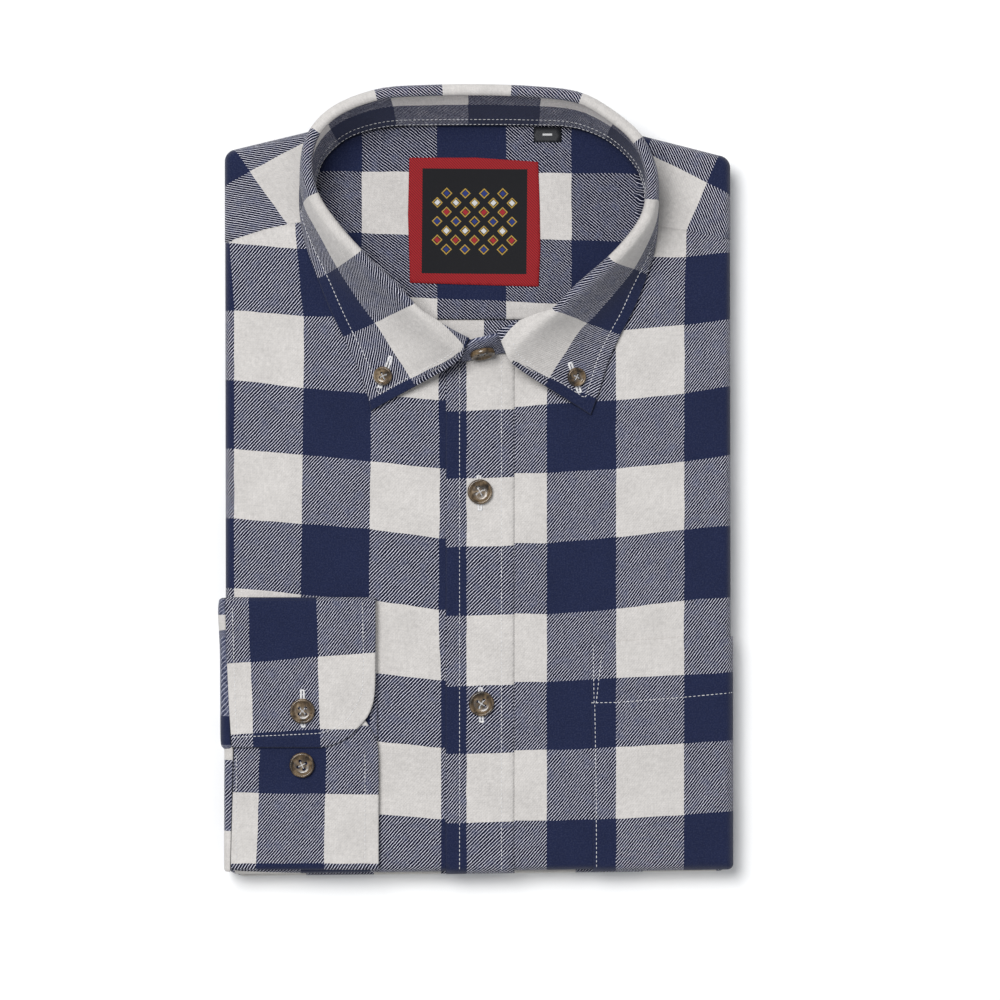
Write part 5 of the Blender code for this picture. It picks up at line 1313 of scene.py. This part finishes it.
def on_face(grid, normal, rows, columns, raised=0.05):
    """Points on a grid's face at places that need not be whole, and the way it faces there."""
    rows, columns = np.asarray(rows, float), np.asarray(columns, float)
    i = np.clip(np.floor(rows).astype(int), 0, grid.shape[0] - 2)
    j = np.clip(np.floor(columns).astype(int), 0, grid.shape[1] - 2)
    a, b = (rows - i)[:, None], (columns - j)[:, None]

    def mixed(values):
        near = values[i, j] * (1 - b) + values[i, j + 1] * b
        return near * (1 - a) + (values[i + 1, j] * (1 - b) + values[i + 1, j + 1] * b) * a

    facing = mixed(normal)
    facing /= np.linalg.norm(facing, axis=1, keepdims=True)
    return mixed(grid) + facing * raised, facing


outside = leaf_one_face if facing_out > 0 else leaf_other_face
normal = grid_normals(leaf_outer) * facing_out
last = leaf_outer.shape[1] - 1
inset_column = last - 9
STITCHES_IN = 5.2  # from the leaf's edges
counted = np.arange(len(round_leaf))
starts = [np.interp(STITCHES_IN, round_leaf[:, j], counted) for j in range(last + 1)]
to_end = round_leaf[-1] - round_leaf
ends = [len(round_leaf) - 1 - np.interp(STITCHES_IN, to_end[::-1, j], counted) for j in range(last + 1)]
first_column = int(np.searchsorted(down_leaf[0], 9.0))
columns = list(range(first_column, inset_column))
path_rows = [starts[j] for j in columns] + list(np.arange(starts[inset_column], ends[inset_column], 0.5))
path_columns = columns + [inset_column] * (len(path_rows) - len(columns))
path_rows += [ends[j] for j in reversed(columns)]
path_columns += list(reversed(columns))
sew("collar_stitches", [on_face(outside, normal, path_rows, path_columns)], *COLLAR_STITCH)

middle_row = len(stand_at) // 2
if stand_one_face[middle_row, 8, 1] < stand_other_face[middle_row, 8, 1]:
    inside, way = stand_one_face, 1.0
else:
    inside, way = stand_other_face, -1.0
normal = grid_normals(stand_middle) * way
around = np.searchsorted(stand_at, np.arange(5.0, 25.0, 0.25))
rows = [on_face(inside, normal, around, [np.interp(height, up[i], np.arange(len(up[i]))) for i in around])
        for height in (1.6, 6.2)]
sew("collar_stand_stitches", rows, *STAND_STITCH)

on_cuff = Surface(cuff)
CUFF_STITCH_LINES = (
    ((-110.6, -115.1), (-102.1, -114.7), (-72.1, -113.3), (-66.5, -111.9), (-62.1, -109.7),
     (-58.4, -106.4), (-55.4, -101.9), (-53.2, -97.8), (-51.8, -93.6), (-51.3, -80.8), (-51.8, -54.0)),
    ((-50.7, -124.0), (-50.7, -172.0)),
    ((-109.9, -124.0), (-109.9, -172.0)),
    ((-111.6, -56.0), (-109.8, -112.0)),
)
sew("cuff_stitches", [on_cuff.line(line) for line in CUFF_STITCH_LINES], *CUFF_STITCH)

# --- Buttons and buttonholes ---
# Turned horn buttons with a raised rim and four holes, 11.6 mm across on the front, neck and cuff and
# 8.8 mm on the collar points. Each is sewn on with a cross of thread. All but the cuff's under one and the
# neck's have their buttonhole's thread.
horn, tree, shader = finish("mottled horn", Roughness=0.28, Specular_IOR_Level=0.5, Coat_Weight=0.35,
                            Coat_Roughness=0.15)
place = finish_node(tree, "ShaderNodeTexCoord").outputs["Object"]
clouds = speckle(tree, place, 190.0, 3.0, 0.55, distortion=1.2)
streaks = finish_node(tree, "ShaderNodeMapping", {"Vector": place, "Scale": (700.0, 190.0, 300.0),
                                                  "Rotation": (0, 0, 0.9)})
streaks = speckle(tree, streaks.outputs[0], 1.0, 3.0, 0.6)
mottled = calc(tree, "ADD", calc(tree, "MULTIPLY", clouds, 0.75), calc(tree, "MULTIPLY", streaks, 0.25))
tone = finish_node(tree, "ShaderNodeValToRGB", {0: mottled})
HORN_COLOURS = (  # place on the ramp, colour
    (0.38, (0.018, 0.012, 0.007, 1)), (0.48, (0.070, 0.044, 0.022, 1)),
    (0.58, (0.165, 0.112, 0.060, 1)), (0.72, (0.34, 0.26, 0.17, 1)),
)
for place_at, colour in HORN_COLOURS:
    stop = tone.color_ramp.elements.new(place_at)
    stop.color = colour
tone.color_ramp.elements.remove(tone.color_ramp.elements[0])
tone.color_ramp.elements.remove(tone.color_ramp.elements[-1])
tree.links.new(tone.outputs[0], shader.inputs["Base Color"])

DISH = 0.575  # height of the button's middle, as a share of its thickness
BUTTON_PROFILE = (  # share of the radius, share of the thickness
    (0.80, 0.0), (0.92, 0.06), (0.975, 0.22), (1.0, 0.46), (0.985, 0.74), (0.945, 0.92), (0.89, 1.0),
    (0.84, 0.985), (0.795, 0.92), (0.74, 0.78), (0.68, 0.66), (0.60, DISH),
)
LARGE, SMALL = (5.8, 2.6), (4.4, 2.2)  # radius, thickness
SIDES, HOLE_SIDES = 48, 12
STRAND_POINTS = 9
turns = np.linspace(0, 2 * math.pi, SIDES, endpoint=False)
hole_turns = np.linspace(0, 2 * math.pi, HOLE_SIDES, endpoint=False)


def horn_button(name, spot, facing, radius, thick, turn, rest):
    """A turned button with four holes, and the cross of thread that holds it."""
    points = [np.column_stack([radius * share * np.cos(turns), radius * share * np.sin(turns),
                               np.full(SIDES, thick * height)]) for share, height in BUTTON_PROFILE]
    faces = []
    for k in range(len(BUTTON_PROFILE) - 1):
        for i in range(SIDES):
            a, b = k * SIDES + i, k * SIDES + (i + 1) % SIDES
            faces.append((a, b, b + SIDES, a + SIDES))
    quarters = turn + np.arange(4) * math.pi / 2
    middles = [radius * 0.34 * np.array((math.cos(q), math.sin(q))) for q in quarters]
    count = SIDES * len(BUTTON_PROFILE)
    mouths = []
    for ring, height, bore, up in ((len(BUTTON_PROFILE) - 1, DISH, 0.135, True), (0, 0.0, 0.115, False)):
        rim = points[ring][:, :2]
        hole = radius * bore * np.column_stack([np.cos(hole_turns), np.sin(hole_turns)])
        holes = [middle + hole for middle in middles]
        flat = np.vstack([rim] + holes)
        edges = [(i, (i + 1) % SIDES) for i in range(SIDES)]
        for h in range(4):
            first = SIDES + h * HOLE_SIDES
            edges += [(first + i, first + (i + 1) % HOLE_SIDES) for i in range(HOLE_SIDES)]
        found = delaunay_2d_cdt([Vector(p) for p in flat], edges, [list(range(SIDES))], 1, 1e-5)
        mouths.append(count)
        points.append(np.column_stack([flat[SIDES:], np.full(4 * HOLE_SIDES, thick * height)]))
        for face in found[2]:
            if min(face) >= SIDES and len({(i - SIDES) // HOLE_SIDES for i in face}) == 1:
                continue
            (ax, ay), (bx, by), (cx, cy) = (flat[i] for i in face[:3])
            rising = (bx - ax) * (cy - ay) > (by - ay) * (cx - ax)
            named = [ring * SIDES + i if i < SIDES else count + i - SIDES for i in face]
            faces.append(tuple(named if rising == up else reversed(named)))
        count += 4 * HOLE_SIDES
    top, bottom = mouths
    for h in range(4):
        for i in range(HOLE_SIDES):
            a, b = h * HOLE_SIDES + i, h * HOLE_SIDES + (i + 1) % HOLE_SIDES
            faces.append((top + a, top + b, bottom + b, bottom + a))
    aim = np.array(Vector((0, 0, 1)).rotation_difference(Vector(facing)).to_matrix())
    seat = np.array(spot) + np.array(facing) * rest
    mesh = bpy.data.meshes.new(name)
    mesh.from_pydata(((np.vstack(points) @ aim.T + seat) * MM).tolist(), [], faces)
    mesh.shade_smooth()
    mesh.set_sharp_from_angle(angle=math.radians(50))
    mesh.materials.append(horn)
    made = bpy.data.objects.new(name, mesh)
    bpy.context.scene.collection.objects.link(made)
    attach(made, "root")
    strands = []
    for a, b in ((middles[0], middles[2]), (middles[1], middles[3])):
        for shift in (-0.14, 0.14):
            way = (b - a) / np.linalg.norm(b - a)
            side = np.array((-way[1], way[0])) * shift
            reach = np.array([a + (b - a) * t + side for t in np.linspace(0.12, 0.88, STRAND_POINTS)])
            crossing = 0.18 if a is middles[1] else 0.0
            high = thick * DISH + 0.28 * np.sin(np.linspace(0.0, math.pi, STRAND_POINTS)) + crossing - 0.1
            line = np.column_stack([reach, high]) @ aim.T + seat
            strands.append((line, np.repeat([np.array(facing)], STRAND_POINTS, axis=0)))
    return made, strands


def settled(surface, x, y, radius):
    """Where a button rests on cloth, and the way it faces."""
    around = [(x, y)]
    around += [(x + radius * math.cos(t), y + radius * math.sin(t)) for t in np.linspace(0, 5.5, 8)]
    felt = [surface.at(*spot) for spot in around]
    facing = np.sum([f for _, f in felt], axis=0)
    facing /= np.linalg.norm(facing)
    middle = felt[0][0]
    return middle + facing * max(float((p - middle) @ facing) for p, _ in felt), facing


on_leaf = Surface(collar_leaf, right_front)
BUTTONS = (  # node, what it lies on, x, y, size, turn
    ("button_front_upper", on_placket, 2.1, -2.4, LARGE, 0.5),
    ("button_front_lower", on_placket, 2.8, -99.8, LARGE, 1.0),
    ("button_cuff_over", on_cuff, -79.3, -103.0, LARGE, 0.8),
    ("button_cuff_under", on_cuff, -79.6, -127.9, LARGE, 0.45),
    ("button_collar_right", on_leaf, -42.2, 50.9, SMALL, 0.45),
    ("button_collar_left", on_leaf, 46.1, 50.4, SMALL, 1.1),
)
strands = []
for node, surface, x, y, (radius, thick), turn in BUTTONS:
    spot, facing = settled(surface, x, y, radius * 0.7)
    made, cross = horn_button(node + "_horn", spot, facing, radius, thick, turn, 0.15)
    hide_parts(node)
    strands += cross

NECK_BUTTON, NECK_BUTTON_FACES = (3.0, 62.3, 32.7), (0.184, -0.947, 0.259)
facing = np.array(Vector(NECK_BUTTON_FACES).normalized())
spot, _ = Surface(collar_stand).felt(np.array(NECK_BUTTON) + facing * 15.0, -facing)
made, cross = horn_button("button_neck_horn", spot, facing, *LARGE, 0.4, 0.1)
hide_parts("button_neck")
strands += cross
sew("button_threads", strands, *BUTTON_THREAD)


def buttonhole(surface, top, bottom, width=1.35):
    """The line of thread round a buttonhole."""
    top, bottom = np.array(top), np.array(bottom)
    way = (bottom - top) / np.linalg.norm(bottom - top)
    side = np.array((-way[1], way[0])) * width / 2
    loop = [bottom + side, top + side, top - side, bottom - side, bottom + side]
    return surface.line(loop, 0.8, 0.1)


holes = [(on_placket, (1.6, 4.8), (2.1, -10.8)), (on_placket, (2.3, -92.6), (2.8, -108.2)),
         (on_cuff, (-79.4, -93.5), (-79.0, -110.2)),
         (on_leaf, (-38.7, 59.4), (-44.0, 45.6)), (on_leaf, (43.4, 56.6), (47.8, 43.3))]
sew("buttonhole_threads", [buttonhole(*hole) for hole in holes], *BUTTONHOLE_STITCH, math.pi / 2)
